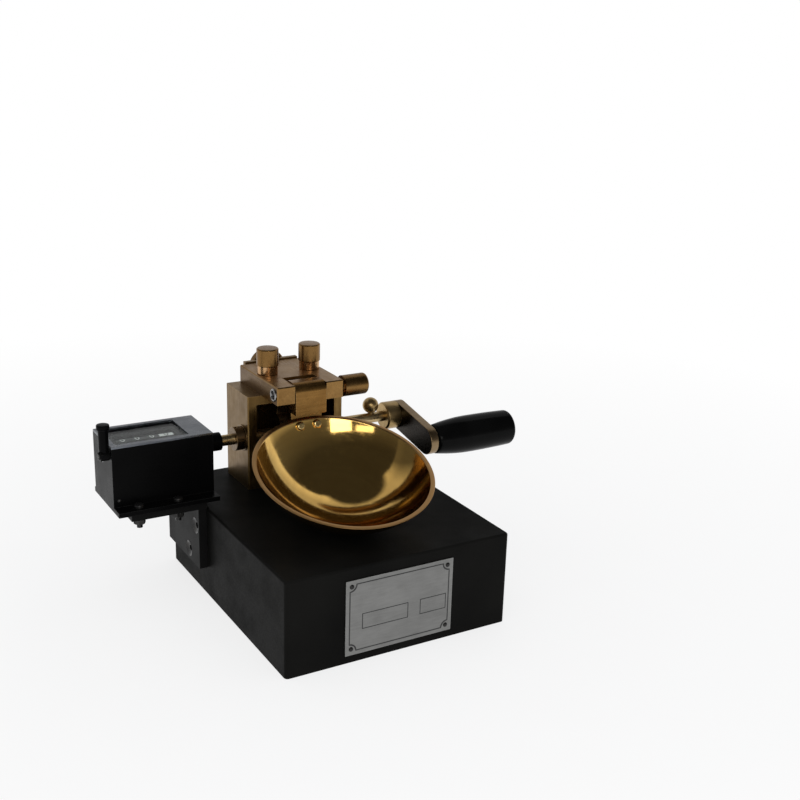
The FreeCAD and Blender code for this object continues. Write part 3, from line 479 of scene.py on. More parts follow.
def lathe(name, origin, direction, profile, segments=96, knurl=None, hollow=False):
    """Turns an outline of (along, radius) points about a line. knurl gives the start, end,
    number round, pitch and depth of a knurled band; with no pitch it is straight. hollow
    joins the outline's two ends into a bore."""
    per_tooth = 4
    direction = Vector(direction).normalized()
    turn = Vector((0, 0, 1)).rotation_difference(direction).to_matrix().to_4x4()
    move = Matrix.Translation(origin) @ turn
    rows = [(along, radius, 0.0) for along, radius in profile]
    if knurl:
        start, end, count, pitch, depth = knurl
        segments = count * per_tooth
        step = pitch / per_tooth if pitch else (end - start)
        number = max(1, round((end - start) / step))
        band = [start + (end - start) * index / number for index in range(number + 1)]
        radius = max(r for a, r in profile)
        split = next(i for i, (a, r) in enumerate(profile) if a >= end)
        rows = rows[:split] + [(along, radius, depth) for along in band] + rows[split:]
    mesh_data = bmesh.new()
    rings = []
    for along, radius, depth in rows:
        if radius < 1e-7:
            rings.append([mesh_data.verts.new(move @ Vector((0, 0, along)))])
            continue
        ring = []
        for index in range(segments):
            angle = 2 * math.pi * index / segments
            local = radius
            if depth:
                around = index / per_tooth
                if knurl[3]:
                    lean = along / knurl[3]
                    height = min(triangle_wave(around + lean), triangle_wave(around - lean))
                else:
                    height = triangle_wave(around)
                local -= depth * (1 - height)
            ring.append(mesh_data.verts.new(
                move @ Vector((local * math.cos(angle), local * math.sin(angle), along))))
        rings.append(ring)
    pairs = list(zip(rings, rings[1:]))
    if hollow:
        pairs.append((rings[-1], rings[0]))
    for first, second in pairs:
        if len(first) == 1 and len(second) == 1:
            continue
        for index in range(segments):
            following = (index + 1) % segments
            if len(first) == 1:
                corners = (first[0], second[index], second[following])
            elif len(second) == 1:
                corners = (first[index], second[0], first[following])
            else:
                corners = (first[index], second[index], second[following],
                           first[following])
            mesh_data.faces.new(corners)
    if len(rings[0]) > 1 and not hollow:
        mesh_data.faces.new(list(rings[0]))
    if len(rings[-1]) > 1 and not hollow:
        mesh_data.faces.new(list(reversed(rings[-1])))
    bmesh.ops.recalc_face_normals(mesh_data, faces=mesh_data.faces)
    return piece_from(mesh_data, name)


def settled(piece):
    """Applies a piece's modifiers to its mesh."""
    bpy.context.view_layer.update()
    shape = piece.evaluated_get(bpy.context.evaluated_depsgraph_get())
    mesh = bpy.data.meshes.new_from_object(shape)
    piece.modifiers.clear()
    piece.data = mesh
    return piece


def carved(piece, cutter, operation="DIFFERENCE"):
    """Takes a cutter's volume out of a piece, or keeps what they share."""
    modifier = piece.modifiers.new("carve", "BOOLEAN")
    modifier.operation = operation
    modifier.solver = "EXACT"
    modifier.object = cutter
    settled(piece)
    bpy.data.objects.remove(cutter)
    return piece


def bar(name, centre, size, directions):
    """A box from its centre, its three sizes and the directions that they run in."""
    mesh_data = bmesh.new()
    bmesh.ops.create_cube(mesh_data, size=1.0)
    for vert in mesh_data.verts:
        place = Vector(centre)
        for part, length, direction in zip(vert.co, size, directions):
            place += direction * (part * length)
        vert.co = place
    bmesh.ops.recalc_face_normals(mesh_data, faces=mesh_data.faces)
    return piece_from(mesh_data, name)


def frame_of(direction):
    """Two directions square to a direction, and the direction itself."""
    direction = Vector(direction).normalized()
    helper = AXIS["x"] if abs(direction.x) < 0.9 else AXIS["z"]
    side = direction.cross(helper).normalized()
    return side, direction.cross(side).normalized(), direction


def turned(name, node, axis, place, outline, ease=0.15, segments=96, knurl=None,
           hollow=False, material=None, sharp=50.0):
    """A turned piece in millimetres, its outline measured along a world axis."""
    points = soften(outline, ease) if ease else outline
    band = None
    if knurl:
        start, end, count, pitch, depth = knurl
        band = (start * MM, end * MM, count, pitch * MM, depth * MM)
    piece = lathe(name, Vector(place) * MM, AXIS[axis], in_metres(points), segments, band,
                  hollow)
    return finished(piece, node, sharp=sharp, material=material)


def hexagon_cut(piece, place, direction, radius, depth):
    """Cuts a hexagon socket into a piece from a point on its face, along a direction."""
    over = 0.5 * MM
    outline = [(-over, 0.0), (-over, radius), (depth, radius), (depth, 0.0)]
    return carved(piece, lathe(piece.name + "_socket", place, direction, outline, 6))


def slotted_screw(name, node, seat, direction, head, shank, dome, turn, slot=0.22,
                  crossed=False):
    """A screw with a domed, slotted head standing on its seat along a direction. head is
    its radius and height and shank its radius and length, in millimetres; dome and slot
    are shares of the head's height and radius."""
    radius, height = (part * MM for part in head)
    shank_radius, length = (part * MM for part in shank)
    profile = [(-length, 0.0), (-length, shank_radius), (0.0, shank_radius), (0.0, radius)]
    steps = 8
    straight = height * (1 - dome)
    for step in range(steps + 1):
        angle = math.pi / 2 * step / steps
        profile.append((straight + height * dome * math.sin(angle),
                        radius * (0.5 + 0.5 * math.cos(angle))))
    profile.append((height, 0.0))
    piece = lathe(name, seat, direction, profile, 64)
    side, other, forward = frame_of(direction)
    for number in range(2 if crossed else 1):
        spin = Matrix.Rotation(turn + math.pi / 2 * number, 3, forward)
        cutter = bar(name + "_slot", Vector(seat) + forward * height,
                     (radius * slot * 2, radius * (1.35 if crossed else 2.4), height * 0.9),
                     (spin @ side, spin @ other, forward))
        carved(piece, cutter)
    return finished(piece, node)


def bevelled(node, width):
    """The node's own shape with its edges broken and its flats kept flat."""
    same_plane = math.radians(0.05)
    broken_edge = math.radians(32.0)
    sharp_edge = math.radians(40.0)
    mesh_data = bmesh.new()
    mesh_data.from_mesh(nodes[node].data)
    bmesh.ops.remove_doubles(mesh_data, verts=mesh_data.verts, dist=1e-6)
    bmesh.ops.dissolve_limit(mesh_data, angle_limit=same_plane,
                             verts=mesh_data.verts, edges=mesh_data.edges)
    piece = piece_from(mesh_data, node + "_broken_edges")
    modifier = piece.modifiers.new("bevel", "BEVEL")
    modifier.width = width
    modifier.segments = 2
    modifier.limit_method = "ANGLE"
    modifier.angle_limit = broken_edge
    modifier.use_clamp_overlap = True
    settled(piece)
    piece.data.shade_smooth()
    piece.data.set_sharp_from_angle(angle=sharp_edge)
    weighted = piece.modifiers.new("weighted", "WEIGHTED_NORMAL")
    weighted.mode = "FACE_AREA"
    weighted.keep_sharp = True
    settled(piece)
    return finished(piece, node, smooth=False)


# Blocks and plates with their edges broken
for name, width in (("frame_body", 0.3), ("carriage", 0.25), ("keeper_plate", 0.2),
                    ("hanger", 0.2), ("follower_plate", 0.15), ("crank_arm", 0.4),
                    ("counter_housing", 0.3), ("counter_bezel", 0.2),
                    ("counter_bracket", 0.35), ("nameplate", 0.12), ("cam", 0.2),
                    ("shaft_collar", 0.35)):
    bevelled(name, width * MM)

# Cup: the bowl turned about its tilted axis with an eased rim
outer_rim = math.acos(rim_offset / cup_outer)
inner_rim = math.acos(rim_offset / cup_inner)
bowl = []
bowl_steps = 60
for step in range(bowl_steps + 1):
    angle = outer_rim * step / bowl_steps
    bowl.append((-cup_outer * math.cos(angle), cup_outer * math.sin(angle)))
inside = []
for step in range(bowl_steps + 1):
    angle = inner_rim * (1 - step / bowl_steps)
    inside.append((-cup_inner * math.cos(angle), cup_inner * math.sin(angle)))
rim = soften([bowl[-2], bowl[-1], inside[0], inside[1]], 0.45 * MM, 3)
cup = lathe("cup_bowl", cup_centre, cup_axis, bowl[:-1] + rim[1:-1] + inside[1:], 192)
finished(cup, "cup", sharp=50.0)

# Cup screws inside the bowl
screw_drop = 16.0 * MM
screw_spread = 5.0 * MM
screw_seat = 0.08 * MM
level = math.sqrt(cup_inner ** 2 - screw_spread ** 2 - screw_drop ** 2)
for number, side in enumerate((-1, 1)):
    outward = Vector((side * screw_spread, level, -screw_drop)).normalized()
    seat = cup_centre + outward * (cup_inner - screw_seat)
    slotted_screw("cup_screw_%d" % (number + 1), "cup_screws", seat, -outward,
                  head=(2.4, 1.5), shank=(1.5, 6.4), dome=0.6, slot=0.16,
                  turn=0.5 + 0.4 * number, crossed=True)

# Follower screws, keeper screws and the counter's flange screws with their nuts
follower_face = 28.6
for number, z in enumerate((87.4, 74.6)):
    slotted_screw("follower_screw_%d" % (number + 1), "follower_screws",
                  Vector((mech_x, follower_face, z)) * MM, AXIS["y"], head=(2.1, 1.3),
                  shank=(1.25, 5.4), dome=0.2, turn=0.3 + 0.9 * number)
keeper_face = 70.0
keeper_screw_z = 100.5
for number, x in enumerate((-16.0, 6.0)):
    slotted_screw("keeper_screw_%d" % (number + 1), "keeper_screws",
                  Vector((x, keeper_face, keeper_screw_z)) * MM, AXIS["y"],
                  head=(2.4, 1.6), shank=(1.25, 11.9), dome=0.4, turn=0.7 + number)
flange_top = 57.0
nut_low = 48.1
nut_high = 50.5
nut_bore = 1.5
nut_corner = 2.75 / math.cos(math.radians(30))
for number, (x, y) in enumerate(product((-98.2, -77.5), (24.2, 54.0)), 1):
    slotted_screw("flange_screw_%d" % number, "flange_screws",
                  Vector((x, y, flange_top)) * MM, AXIS["z"], head=(2.5, 2.0),
                  shank=(1.5, 11.0), dome=0.5, turn=0.4 * number)
    outline = [(nut_low, nut_bore), (nut_low, nut_corner), (nut_high, nut_corner),
               (nut_high, nut_bore)]
    nut = lathe("flange_nut_%d" % number, Vector((x, y, 0)) * MM, AXIS["z"],
                in_metres(outline), 6, None, True)
    outline = [(nut_low - 0.1, 0), (nut_low - 0.1, 2.55), (nut_low + 0.4, 3.3),
               (nut_high - 0.3, 3.3), (nut_high + 0.1, 2.9), (nut_high + 0.1, 0)]
    barrel = lathe("nut_barrel", Vector((x, y, 0)) * MM, AXIS["z"], in_metres(outline), 48)
    finished(carved(nut, barrel, "INTERSECT"), "flange_nuts", sharp=25.0)

# Rivets of the nameplate, domed over its face
plate_low, plate_high = (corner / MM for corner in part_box("nameplate"))
plate_face = -75.6
rivet_top = plate_face - 0.6
rivet_inset = 3.2
rivet_x = (plate_low.x + rivet_inset, plate_high.x - rivet_inset)
rivet_z = (plate_low.z + rivet_inset, plate_high.z - rivet_inset)
for number, (x, z) in enumerate(product(rivet_x, rivet_z), 1):
    turned("rivet_%d" % number, "nameplate_rivets", "y", (x, 0, z),
           [(rivet_top, 0.0), (rivet_top + 0.05, 0.5), (rivet_top + 0.18, 0.9),
            (rivet_top + 0.4, 1.15), (plate_face, 1.2), (plate_face, 1.0),
            (-70.0, 1.0), (-70.0, 0.0)], 0, 40, sharp=60.0)

# Clamp knobs: a knurled head with a bright neck over its stud
stud_low = 98.0
neck_low = 112.73
head_low = 117.53
head_high = 127.03
head_radius = 6.0
for name, x in (("clamp_knob_left", -17.5), ("clamp_knob_right", 7.5)):
    knob = turned(name + "_turned", name, "z", (x, shaft_y, 0),
                  [(stud_low, 0.0), (stud_low, 2.5), (neck_low, 2.5), (neck_low, 5.6),
                   (head_low, 5.6), (head_low, head_radius), (head_high - 0.5, head_radius),
                   (head_high, head_radius - 0.5), (head_high, 0.0)], 0.2,
                  knurl=(118.2, 126.0, 72, 0.8, 0.035), sharp=60.0)
    knob.data.materials.append(neck_brass)
    for face in knob.data.polygons:
        if face.center.z < (head_low - 0.03) * MM:
            face.material_index = 1

# Hinge pin with its drilled end, and its knurled knob
pin_left = -25.3
pin_right = 28.5
pin_radius = 3.5
turned("hinge_pin_turned", "hinge_pin", "x", (0, hinge_y, hinge_z),
       [(pin_left + 2.7, 0.0), (pin_left + 2.4, 2.1), (pin_left + 0.3, 2.3),
        (pin_left, 2.6), (pin_left, 3.1), (pin_left + 0.4, pin_radius),
        (pin_right, pin_radius), (pin_right, 0.0)], 0.1, material=steel)
knob_left = 14.6
knob_radius = 5.8
knob_round = 1.5
outline = [(knob_left, pin_radius), (knob_left, 4.4), (knob_left + 1.0, 4.4),
           (knob_left + 1.0, knob_radius), (pin_right - 0.05, knob_radius)]
for step in range(7):
    angle = math.pi / 2 * step / 6
    outline.append((pin_right + knob_round * math.sin(angle),
                    knob_radius - knob_round + knob_round * math.cos(angle)))
outline += [(pin_right + knob_round, 0.0)]
turned("pin_knob_turned", "pin_knob", "x", (0, hinge_y, hinge_z), outline, 0,
       knurl=(16.2, 27.8, 72, 0.8, 0.045), sharp=40.0)

# Adjusting screw with a slotted end, and its milled disc
adjuster_z = 108.0
adjuster_front = 49.5
adjuster_rear = 76.4
adjuster_radius = 2.5
ring_front = 67.15
ring_rear = 68.05
ring_radius = 4.2
adjuster = lathe("adjusting_screw_turned", Vector((mech_x, 0, adjuster_z)) * MM, AXIS["y"],
                 in_metres([
                     (adjuster_front, 0.0), (adjuster_front, 2.0),
                     (adjuster_front + 0.5, adjuster_radius), (ring_front, adjuster_radius),
                     (ring_front, ring_radius), (ring_rear, ring_radius),
                     (ring_rear, adjuster_radius), (adjuster_rear - 0.3, adjuster_radius),
                     (adjuster_rear, 2.2), (adjuster_rear, 0.0)]), 64)
slot_size = Vector((0.8, 2.0, 6.0)) * MM
carved(adjuster, bar("adjuster_slot", Vector((mech_x, adjuster_rear + 0.1, adjuster_z)) * MM,
                     slot_size, AXIS.values()))
finished(adjuster, "adjusting_screw", sharp=50.0)
disc_front = 70.4
disc_radius = 10.0
turned("adjusting_disc_milled", "adjusting_knob", "y", (mech_x, 0, adjuster_z),
       [(disc_front, adjuster_radius), (disc_front, disc_radius - 0.8),
        (disc_front + 0.8, disc_radius), (adjuster_rear - 0.8, disc_radius),
        (adjuster_rear, disc_radius - 0.8), (adjuster_rear, 7.4), (adjuster_rear - 0.5, 7.0),
        (adjuster_rear - 0.5, 4.4), (adjuster_rear, 4.0), (adjuster_rear, adjuster_radius)],
       0.15, knurl=(71.35, 75.45, 72, 0, 0.3), hollow=True)

# Shaft, its bushes, the collar's grub screw, the ball stud and the hub
shaft_radius = 3.0
shaft_bore = shaft_radius + 0.03
pinion_end = -64.8
neck_left = -58.0
arm_left = 63.7
arm_right = 68.7
turned("crankshaft_turned", "crankshaft", "x", (0, shaft_y, shaft_z),
       [(pinion_end, 0.0), (pinion_end, 1.2), (neck_left, 1.2), (neck_left, shaft_radius),
        (arm_right, shaft_radius), (arm_right, 0.0)])
bush_length = 5.0
bush_radius = 5.0
bush_flange = 0.6
bush_flange_radius = 7.2
for name, cheek, side in (("left", -32.5, -1), ("right", 24.5, 1)):
    outer = cheek + side * bush_flange
    inner = cheek - side * bush_length
    turned(name + "_bush_turned", "shaft_bush_" + name, "x", (0, shaft_y, shaft_z),
           [(outer, shaft_bore), (outer, bush_flange_radius), (cheek, bush_flange_radius),
            (cheek, bush_radius), (inner, bush_radius), (inner, shaft_bore)], hollow=True)
neck_right = -46.0
turned("neck_bush_turned", "neck_bush", "x", (0, shaft_y, shaft_z),
       [(neck_left, shaft_bore), (neck_left, 4.0), (neck_right, 4.0),
        (neck_right, shaft_bore)], 0.1, hollow=True)
grub_x = -35.7
grub_low = 81.0
grub_high = 83.8
grub = lathe("collar_grub_turned", Vector((grub_x, shaft_y, 0)) * MM, AXIS["z"],
             in_metres([(grub_low, 0.0), (grub_low, 1.4), (grub_high - 0.2, 1.5),
                        (grub_high, 1.3), (grub_high, 0.0)]), 40)
hexagon_cut(grub, Vector((grub_x, shaft_y, grub_high)) * MM, -AXIS["z"], 0.8 * MM, 1.2 * MM)
finished(grub, "collar_grub", sharp=40.0)
ball_x = 47.0
ball_z = 85.7
ball_radius = 4.6
stem_radius = 1.5
stem_angle = math.asin(stem_radius / ball_radius)
outline = [(shaft_z, 0.0), (shaft_z, stem_radius)]
for step in range(25):
    angle = stem_angle + (math.pi - stem_angle) * step / 24
    outline.append((ball_z - ball_radius * math.cos(angle), ball_radius * math.sin(angle)))
outline[-1] = (ball_z + ball_radius, 0.0)
turned("ball_stud_turned", "ball_stud", "z", (ball_x, shaft_y, 0), outline, 0, 64)
hub_left = 55.0
hub_radius = 8.0
boss_radius = 5.0
turned("crank_hub_turned", "crank_hub", "x", (0, shaft_y, shaft_z),
       [(hub_left, shaft_radius), (hub_left, hub_radius - 0.8), (hub_left + 0.8, hub_radius),
        (arm_left, hub_radius), (arm_left, boss_radius), (arm_right, boss_radius),
        (arm_right, shaft_radius)], 0.2, hollow=True)

# Grip: a swelling handle with a rounded end and a recess for its screw
throw = 33.6
arm_dip = math.radians(10.3)
grip_y = shaft_y - throw * math.cos(arm_dip)
grip_z = shaft_z - throw * math.sin(arm_dip)
grip_left = 69.5
grip_swell = 70.1
grip_widest = 93.5
grip_shoulder = 118.7
grip_right = 120.7
grip_radius = 10.6
end_round = 2.0
recess_radius = 5.4
recess_floor = 116.7


def arc_radius(distance, length, fall):
    """Radius of the grip at a distance from its widest ring."""
    bend = (length ** 2 + fall ** 2) / (2 * fall)
    return grip_radius - bend + math.sqrt(bend ** 2 - distance ** 2)


outline = [(grip_left, shaft_bore), (grip_left, 7.6), (grip_left + 0.2, 7.95),
           (grip_swell, arc_radius(grip_widest - grip_swell, 24.0, 2.4))]
for step in range(1, 17):
    along = grip_swell + (grip_widest - grip_swell) * step / 16
    outline.append((along, arc_radius(grip_widest - along, 24.0, 2.4)))
for step in range(1, 17):
    along = grip_widest + (grip_shoulder - grip_widest) * step / 16
    outline.append((along, arc_radius(along - grip_widest, 25.2, 0.5)))
for step in range(1, 11):
    angle = math.pi / 2 * step / 10
    outline.append((grip_shoulder + end_round * math.sin(angle),
                    8.1 + end_round * math.cos(angle)))
outline += [(grip_right, recess_radius + 0.5), (grip_right - 0.5, recess_radius),
            (recess_floor, recess_radius), (recess_floor, shaft_bore)]
turned("grip_moulded", "grip", "x", (0, grip_y, grip_z), outline, 0, 128, hollow=True)
spindle_radius = 3.0
spindle_left = 64.2
washer_right = 69.4
screw_floor = recess_floor + 0.1
screw_right = 119.3
spindle = turned("grip_spindle_turned", "grip_spindle", "x", (0, grip_y, grip_z),
                 [(spindle_left, 0.0), (spindle_left, spindle_radius),
                  (arm_right, spindle_radius), (arm_right, 4.5), (washer_right, 4.5),
                  (washer_right, spindle_radius), (screw_floor, spindle_radius),
                  (screw_floor, 5.0), (screw_right - 0.4, 5.0), (screw_right, 4.5),
                  (screw_right, 0.0)], 0.12)
carved(spindle, bar("spindle_slot", Vector((screw_right, grip_y, grip_z)) * MM,
                    Vector((1.6, 1.1, 11.0)) * MM, AXIS.values()))

# Countersunk screws of the bracket, each with a dished face and a hexagon socket
bracket_face = -67.0
dish_face = bracket_face + 1.0
bracket_screw_end = -50.5
for number, (y, z) in enumerate(((28.3, 39.0), (38.6, 21.7))):
    place = Vector((0, y, z)) * MM
    head = lathe("bracket_screw_%d" % (number + 1), place, AXIS["x"],
                 in_metres([(dish_face, 0.0), (dish_face, 2.5), (bracket_face + 0.1, 4.0),
                            (bracket_face, 4.25), (bracket_face + 0.15, 4.4),
                            (bracket_face + 1.9, 2.5), (bracket_screw_end, 2.5),
                            (bracket_screw_end, 0.0)]), 64)
    hexagon_cut(head, place + Vector((dish_face, 0, 0)) * MM, AXIS["x"], 1.8 * MM, 1.4 * MM)
    finished(head, "bracket_screws", sharp=35.0)

# Socket head bolts that hold the frame, seen from below the base
bolt_low = 5.0
bolt_shoulder = 10.0
bolt_top = 55.5
bolt_outline = [(bolt_low, 0.0), (bolt_low, 4.25), (bolt_shoulder, 4.25),
                (bolt_shoulder, 2.5), (bolt_top, 2.5), (bolt_top, 0.0)]
for number, (x, y) in enumerate(product((-22.0, 12.0), (42.0, 62.0)), 1):
    place = Vector((x, y, 0)) * MM
    bolt = lathe("frame_bolt_%d" % number, place, AXIS["z"],
                 in_metres(soften(bolt_outline, 0.3)), 64)
    hexagon_cut(bolt, place + Vector((0, 0, bolt_low)) * MM, AXIS["z"], 2.3 * MM, 2.6 * MM)
    finished(bolt, "frame_bolts", sharp=40.0)

# Reset lever: an eye with a post and a round cap, on its pin
lever_x = -112.7
lever_y = 31.5
lever_z = 85.0
eye_left = -115.1
eye_right = -110.3
eye_bore = 1.23
cap_top = 101.2
pin_end = -116.1
eye = lathe("lever_eye", Vector((0, lever_y, lever_z)) * MM, AXIS["x"],
            in_metres(soften([(eye_left, eye_bore), (eye_left, 3.0), (eye_right, 3.0),
                              (eye_right, eye_bore)], 0.4)), 64, None, True)
finished(eye, "reset_lever")
turned("lever_post", "reset_lever", "z", (lever_x, lever_y, 0),
       [(85.8, 0.0), (85.8, 2.0), (87.6, 2.6), (cap_top - 2.6, 2.6), (cap_top - 2.6, 3.3),
        (cap_top, 3.3), (cap_top, 0.0)], 0.6, 64)
pin = turned("lever_pin_turned", "lever_pin", "x", (0, lever_y, lever_z),
             [(pin_end, 0.0), (pin_end, 1.6), (pin_end + 0.3, 2.0), (pin_end + 0.9, 2.0),
              (pin_end + 0.9, 1.2), (-108.0, 1.2), (-108.0, 0.0)], 0.1, 48)
carved(pin, bar("lever_pin_slot", Vector((pin_end, lever_y, lever_z)) * MM,
                Vector((0.7, 0.6, 5.0)) * MM, AXIS.values()))

# Small cover screw low on the counter's front
cover_place = Vector((-107.0, 28.0, 60.4)) * MM
cover_screw = lathe("cover_screw", cover_place, -AXIS["y"],
                    in_metres([(-0.5, 0.0), (-0.5, 0.9), (0.15, 0.9), (0.35, 0.6),
                               (0.4, 0.0)]), 32)
carved(cover_screw, bar("cover_slot", cover_place - AXIS["y"] * (0.4 * MM),
                        Vector((0.25, 0.3, 2.4)) * MM, AXIS.values()))
added(cover_screw, "base", black_oxide)


# Number wheels with raised figures round them
def figures(wheel, colour):
    """Raised figures 0 to 9 bent round a number wheel, which ride with it."""
    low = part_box(wheel)[0]
    width = 7.6 * MM
    centre_x = low.x + width / 2
    radius = 8.0 * MM
    lifted = radius + 0.02 * MM
    text_mesh = bmesh.new()
    for digit in range(10):
        curve = bpy.data.curves.new("figure", "FONT")
        curve.body = str(digit)
        curve.size = 5.6 * MM
        curve.align_x = "CENTER"
        curve.align_y = "CENTER"
        curve.resolution_u = 3
        text = bpy.data.objects.new("figure", curve)
        bpy.context.scene.collection.objects.link(text)
        bpy.context.view_layer.update()
        shape = text.evaluated_get(bpy.context.evaluated_depsgraph_get())
        flat = bpy.data.meshes.new_from_object(shape)
        part = bmesh.new()
        part.from_mesh(flat)
        bmesh.ops.triangulate(part, faces=part.faces)
        bmesh.ops.subdivide_edges(part, edges=part.edges, cuts=1)
        for vert in part.verts:
            angle = vert.co.y / radius + 2 * math.pi * digit / 10 + math.radians(90)
            vert.co = Vector((centre_x + vert.co.x,
                              shaft_y * MM - lifted * math.cos(angle),
                              shaft_z * MM + lifted * math.sin(angle)))
        loose = bpy.data.meshes.new("figure_part")
        part.to_mesh(loose)
        part.free()
        text_mesh.from_mesh(loose)
        bpy.data.objects.remove(text)
    added(piece_from(text_mesh, wheel + "_figures"), nodes[wheel]["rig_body"],
          colour)


for wheel in ("units_wheel", "tens_wheel", "hundreds_wheel", "thousands_wheel"):
    figures(wheel, print_black if wheel == "units_wheel" else wheel_white)


# Printed border and boxes of the bare nameplate
def printed_line(name, points, width):
    """A thin closed line printed on the nameplate through x, z points."""
    mesh_data = bmesh.new()
    count = len(points)
    sides = []
    for index, point in enumerate(points):
        here = Vector(point)
        before = Vector(points[index - 1])
        after = Vector(points[(index + 1) % count])
        run = ((here - before).normalized() + (after - here).normalized()).normalized()
        across = Vector((-run.y, run.x)) * width / 2
        sides.append((here + across, here - across))
    rows = []
    for left, right in sides:
        rows.append([mesh_data.verts.new((p.x * MM, y * MM, p.y * MM))
                     for p in (left, right) for y in (plate_face, plate_face - 0.03)])
    for index in range(count):
        first = rows[index]
        second = rows[(index + 1) % count]
        mesh_data.faces.new((first[1], first[3], second[3], second[1]))
        mesh_data.faces.new((first[0], first[1], second[1], second[0]))
        mesh_data.faces.new((first[3], first[2], second[2], second[3]))
    bmesh.ops.recalc_face_normals(mesh_data, faces=mesh_data.faces)
    added(piece_from(mesh_data, name), "base", print_black)


corner_points = []
border_inset_x = 2.2
border_inset_z = 2.15
left = plate_low.x + border_inset_x
right = plate_high.x - border_inset_x
low = plate_low.z + border_inset_z
high = plate_high.z - border_inset_z
scoop = 3.6
steps = 8
for corner_x, corner_z, start in ((right, high, 180), (right, low, 90), (left, low, 0),
                                  (left, high, 270)):
    for step in range(steps + 1):
        angle = math.radians(start + 90.0 * step / steps)
        corner_points.append((corner_x + scoop * math.cos(angle),
                              corner_z + scoop * math.sin(angle)))
printed_line("plate_border", corner_points, 0.8)
box_low = 17.2
box_high = 25.1
for name, box_left, box_right in (("plate_box_left", -22.2, 3.1),
                                  ("plate_box_right", 10.2, 24.9)):
    printed_line(name, [(box_left, box_low), (box_right, box_low), (box_right, box_high),
                        (box_left, box_high)], 0.6)

# Mask between the number wheels and the window
mask_low = Vector((-107.8, 30.2, 86.35)) * MM
mask_high = Vector((-68.2, 57.8, 86.75)) * MM
slot_low = Vector((-103.4, 40.0, 86.0)) * MM
slot_high = Vector((-71.7, 49.0, 87.2)) * MM
mask = bar("counter_mask", (mask_low + mask_high) / 2, mask_high - mask_low, AXIS.values())
opening = bar("counter_mask_slot", (slot_low + slot_high) / 2, slot_high - slot_low,
              AXIS.values())
carved(mask, opening)
added(mask, "base", black_paint)

# Camera at the photograph's viewing angle
azimuth = math.radians(-30.847)
elevation = math.radians(17.5)
roll = math.radians(1.726)
shift_right = 37.613
shift_up = 102.848
stand_off = 634.845
focal_pixels = 1157.304
picture_width = 800.0
back = Vector((math.sin(azimuth) * math.cos(elevation),
               -math.cos(azimuth) * math.cos(elevation), math.sin(elevation)))
right_side = Vector((math.cos(azimuth), math.sin(azimuth), 0))
upward = back.cross(right_side)
across = math.cos(roll) * right_side + math.sin(roll) * upward
above = -math.sin(roll) * right_side + math.cos(roll) * upward
place = (across * shift_right + above * shift_up + back * stand_off) * MM
camera_data = bpy.data.cameras.new("camera")
camera_data.sensor_width = 36.0
camera_data.lens = camera_data.sensor_width * focal_pixels / picture_width
camera_data.clip_start = 0.01
camera = bpy.data.objects.new("camera", camera_data)
camera.matrix_world = Matrix((
    (across.x, above.x, back.x, place.x),
    (across.y, above.y, back.y, place.y),
    (across.z, above.z, back.z, place.z),
    (0, 0, 0, 1)))
bpy.context.scene.collection.objects.link(camera)
bpy.context.scene.camera = camera
bpy.context.scene.view_settings.view_transform = "Standard"


# Floor, world and lamps
def seen_or_mirrored(tree):
    """1 for camera, glossy and transmission rays, 0 for the others."""
    path = tree.nodes.new("ShaderNodeLightPath")
    total = calculate(tree, "ADD", path.outputs["Is Camera Ray"],
                      path.outputs["Is Glossy Ray"])
    total = calculate(tree, "ADD", total, path.outputs["Is Transmission Ray"])
    return calculate(tree, "MINIMUM", total, 1.0)


floor_material, floor_tree, floor_shader, floor_coords = new_material("pale_floor")
speckle = noise(floor_tree, floor_coords, 30.0, 4.0)
floor_tree.links.new(mixed(floor_tree, remap(floor_tree, speckle, 0.3, 0.7, 0.0, 1.0),
                           (0.93, 0.93, 0.93), (0.915, 0.915, 0.915)),
                     floor_shader.inputs["Base Color"])
floor_shader.inputs["Roughness"].default_value = 0.7
floor_shader.inputs["Specular IOR Level"].default_value = 0.1
paper = floor_tree.nodes.new("ShaderNodeEmission")
distance = vector_math(floor_tree, "LENGTH", floor_coords)
share = remap(floor_tree, distance, 0.15, 0.6, 0.76, 1.0)
share = calculate(floor_tree, "MULTIPLY", share, seen_or_mirrored(floor_tree))
floor_tree.links.new(chosen(floor_tree, share, floor_shader.outputs["BSDF"],
                            paper.outputs["Emission"]),
                     floor_tree.nodes["Material Output"].inputs["Surface"])
floor_mesh = bmesh.new()
bmesh.ops.create_grid(floor_mesh, x_segments=8, y_segments=8, size=6.0)
floor = piece_from(floor_mesh, "floor")
floor.location = (0, 0, -0.0001)
wear(floor, floor_material)

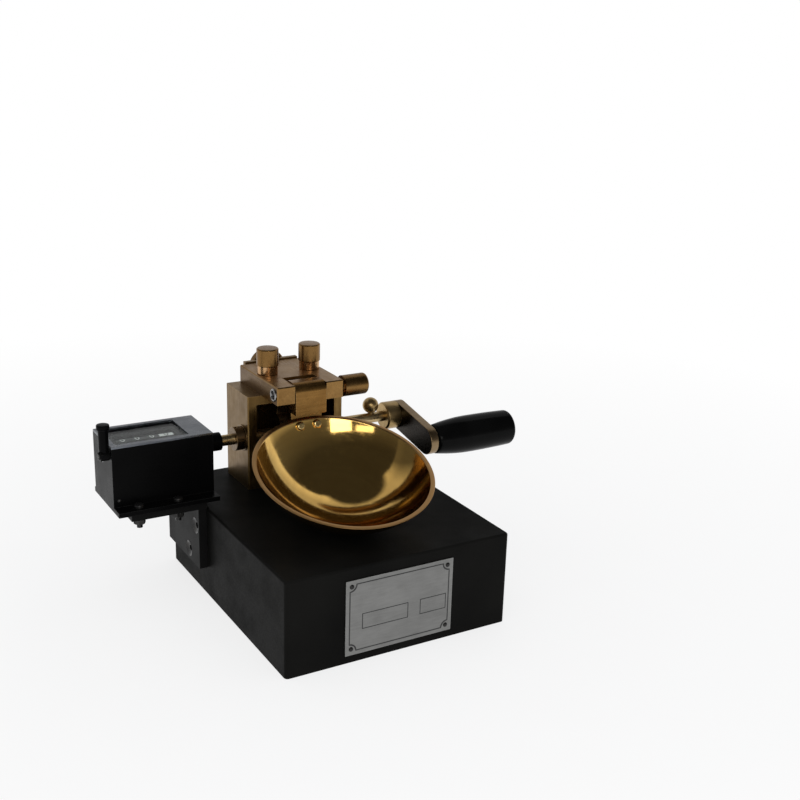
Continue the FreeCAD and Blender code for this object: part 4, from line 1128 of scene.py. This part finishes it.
# White sweep that stands high behind the device and low round it, under a dark ceiling.
# Each limit is a share of the direction's x, y or z part.
world = bpy.data.worlds.new("studio")
bpy.context.scene.world = world
world.use_nodes = True
world_tree = world.node_tree
world_tree.nodes.clear()
world_output = world_tree.nodes.new("ShaderNodeOutputWorld")
sweep = world_tree.nodes.new("ShaderNodeBackground")
plain = world_tree.nodes.new("ShaderNodeBackground")
plain.inputs["Color"].default_value = (0.97, 0.98, 1.0, 1)
plain.inputs["Strength"].default_value = 0.75
sky = world_tree.nodes.new("ShaderNodeTexCoord")
split = world_tree.nodes.new("ShaderNodeSeparateXYZ")
world_tree.links.new(sky.outputs["Generated"], split.inputs["Vector"])
toward_x, toward_y, toward_z = split.outputs
wall_start = remap(world_tree, toward_z, 0.26, 0.80, -0.16, 0.16)
inward = calculate(world_tree, "SUBTRACT", toward_y, wall_start)
wall = remap(world_tree, inward, 0.0, 0.04, 0.0, 1.0)
for limit in (remap(world_tree, inward, 0.06, 0.24, 0.9, 0.55),
              remap(world_tree, toward_x, -0.70, -0.42, 0.12, 1.0),
              remap(world_tree, toward_z, 0.84, 0.885, 1.0, 0.0)):
    wall = calculate(world_tree, "MULTIPLY", wall, limit)
low_ring = calculate(world_tree, "MULTIPLY",
                     remap(world_tree, toward_z, 0.10, 0.24, 1.0, 0.0),
                     remap(world_tree, toward_y, -0.25, 0.05, 0.35, 1.0))
room = remap(world_tree, toward_z, 0.2, 0.65, 0.11, 0.0)
bright = calculate(world_tree, "MAXIMUM", wall, low_ring)
bright = calculate(world_tree, "MAXIMUM", bright, room)
world_tree.links.new(mixed(world_tree, bright, (0.040, 0.040, 0.042), (1.0, 1.0, 1.0)),
                     sweep.inputs["Color"])
world_tree.links.new(chosen(world_tree, seen_or_mirrored(world_tree), plain.outputs[0],
                            sweep.outputs[0]), world_output.inputs["Surface"])


def lamp(name, place, width, height, power, colour):
    """An oblong lamp that faces the middle of the device."""
    data = bpy.data.lights.new(name, "AREA")
    data.shape = "RECTANGLE"
    data.size = width
    data.size_y = height
    data.energy = power
    data.color = colour
    item = bpy.data.objects.new(name, data)
    item.location = place
    aim = Vector((0, -0.015, 0.085)) - Vector(place)
    item.rotation_euler = aim.to_track_quat("-Z", "Y").to_euler()
    bpy.context.scene.collection.objects.link(item)


lamp("front_window", (-0.211, -0.931, 0.427), 0.42, 0.27, 1.6, (1.0, 0.99, 0.96))
lamp("side_window", (-0.62, -0.69, 0.50), 0.36, 0.12, 0.35, (1.0, 0.98, 0.94))
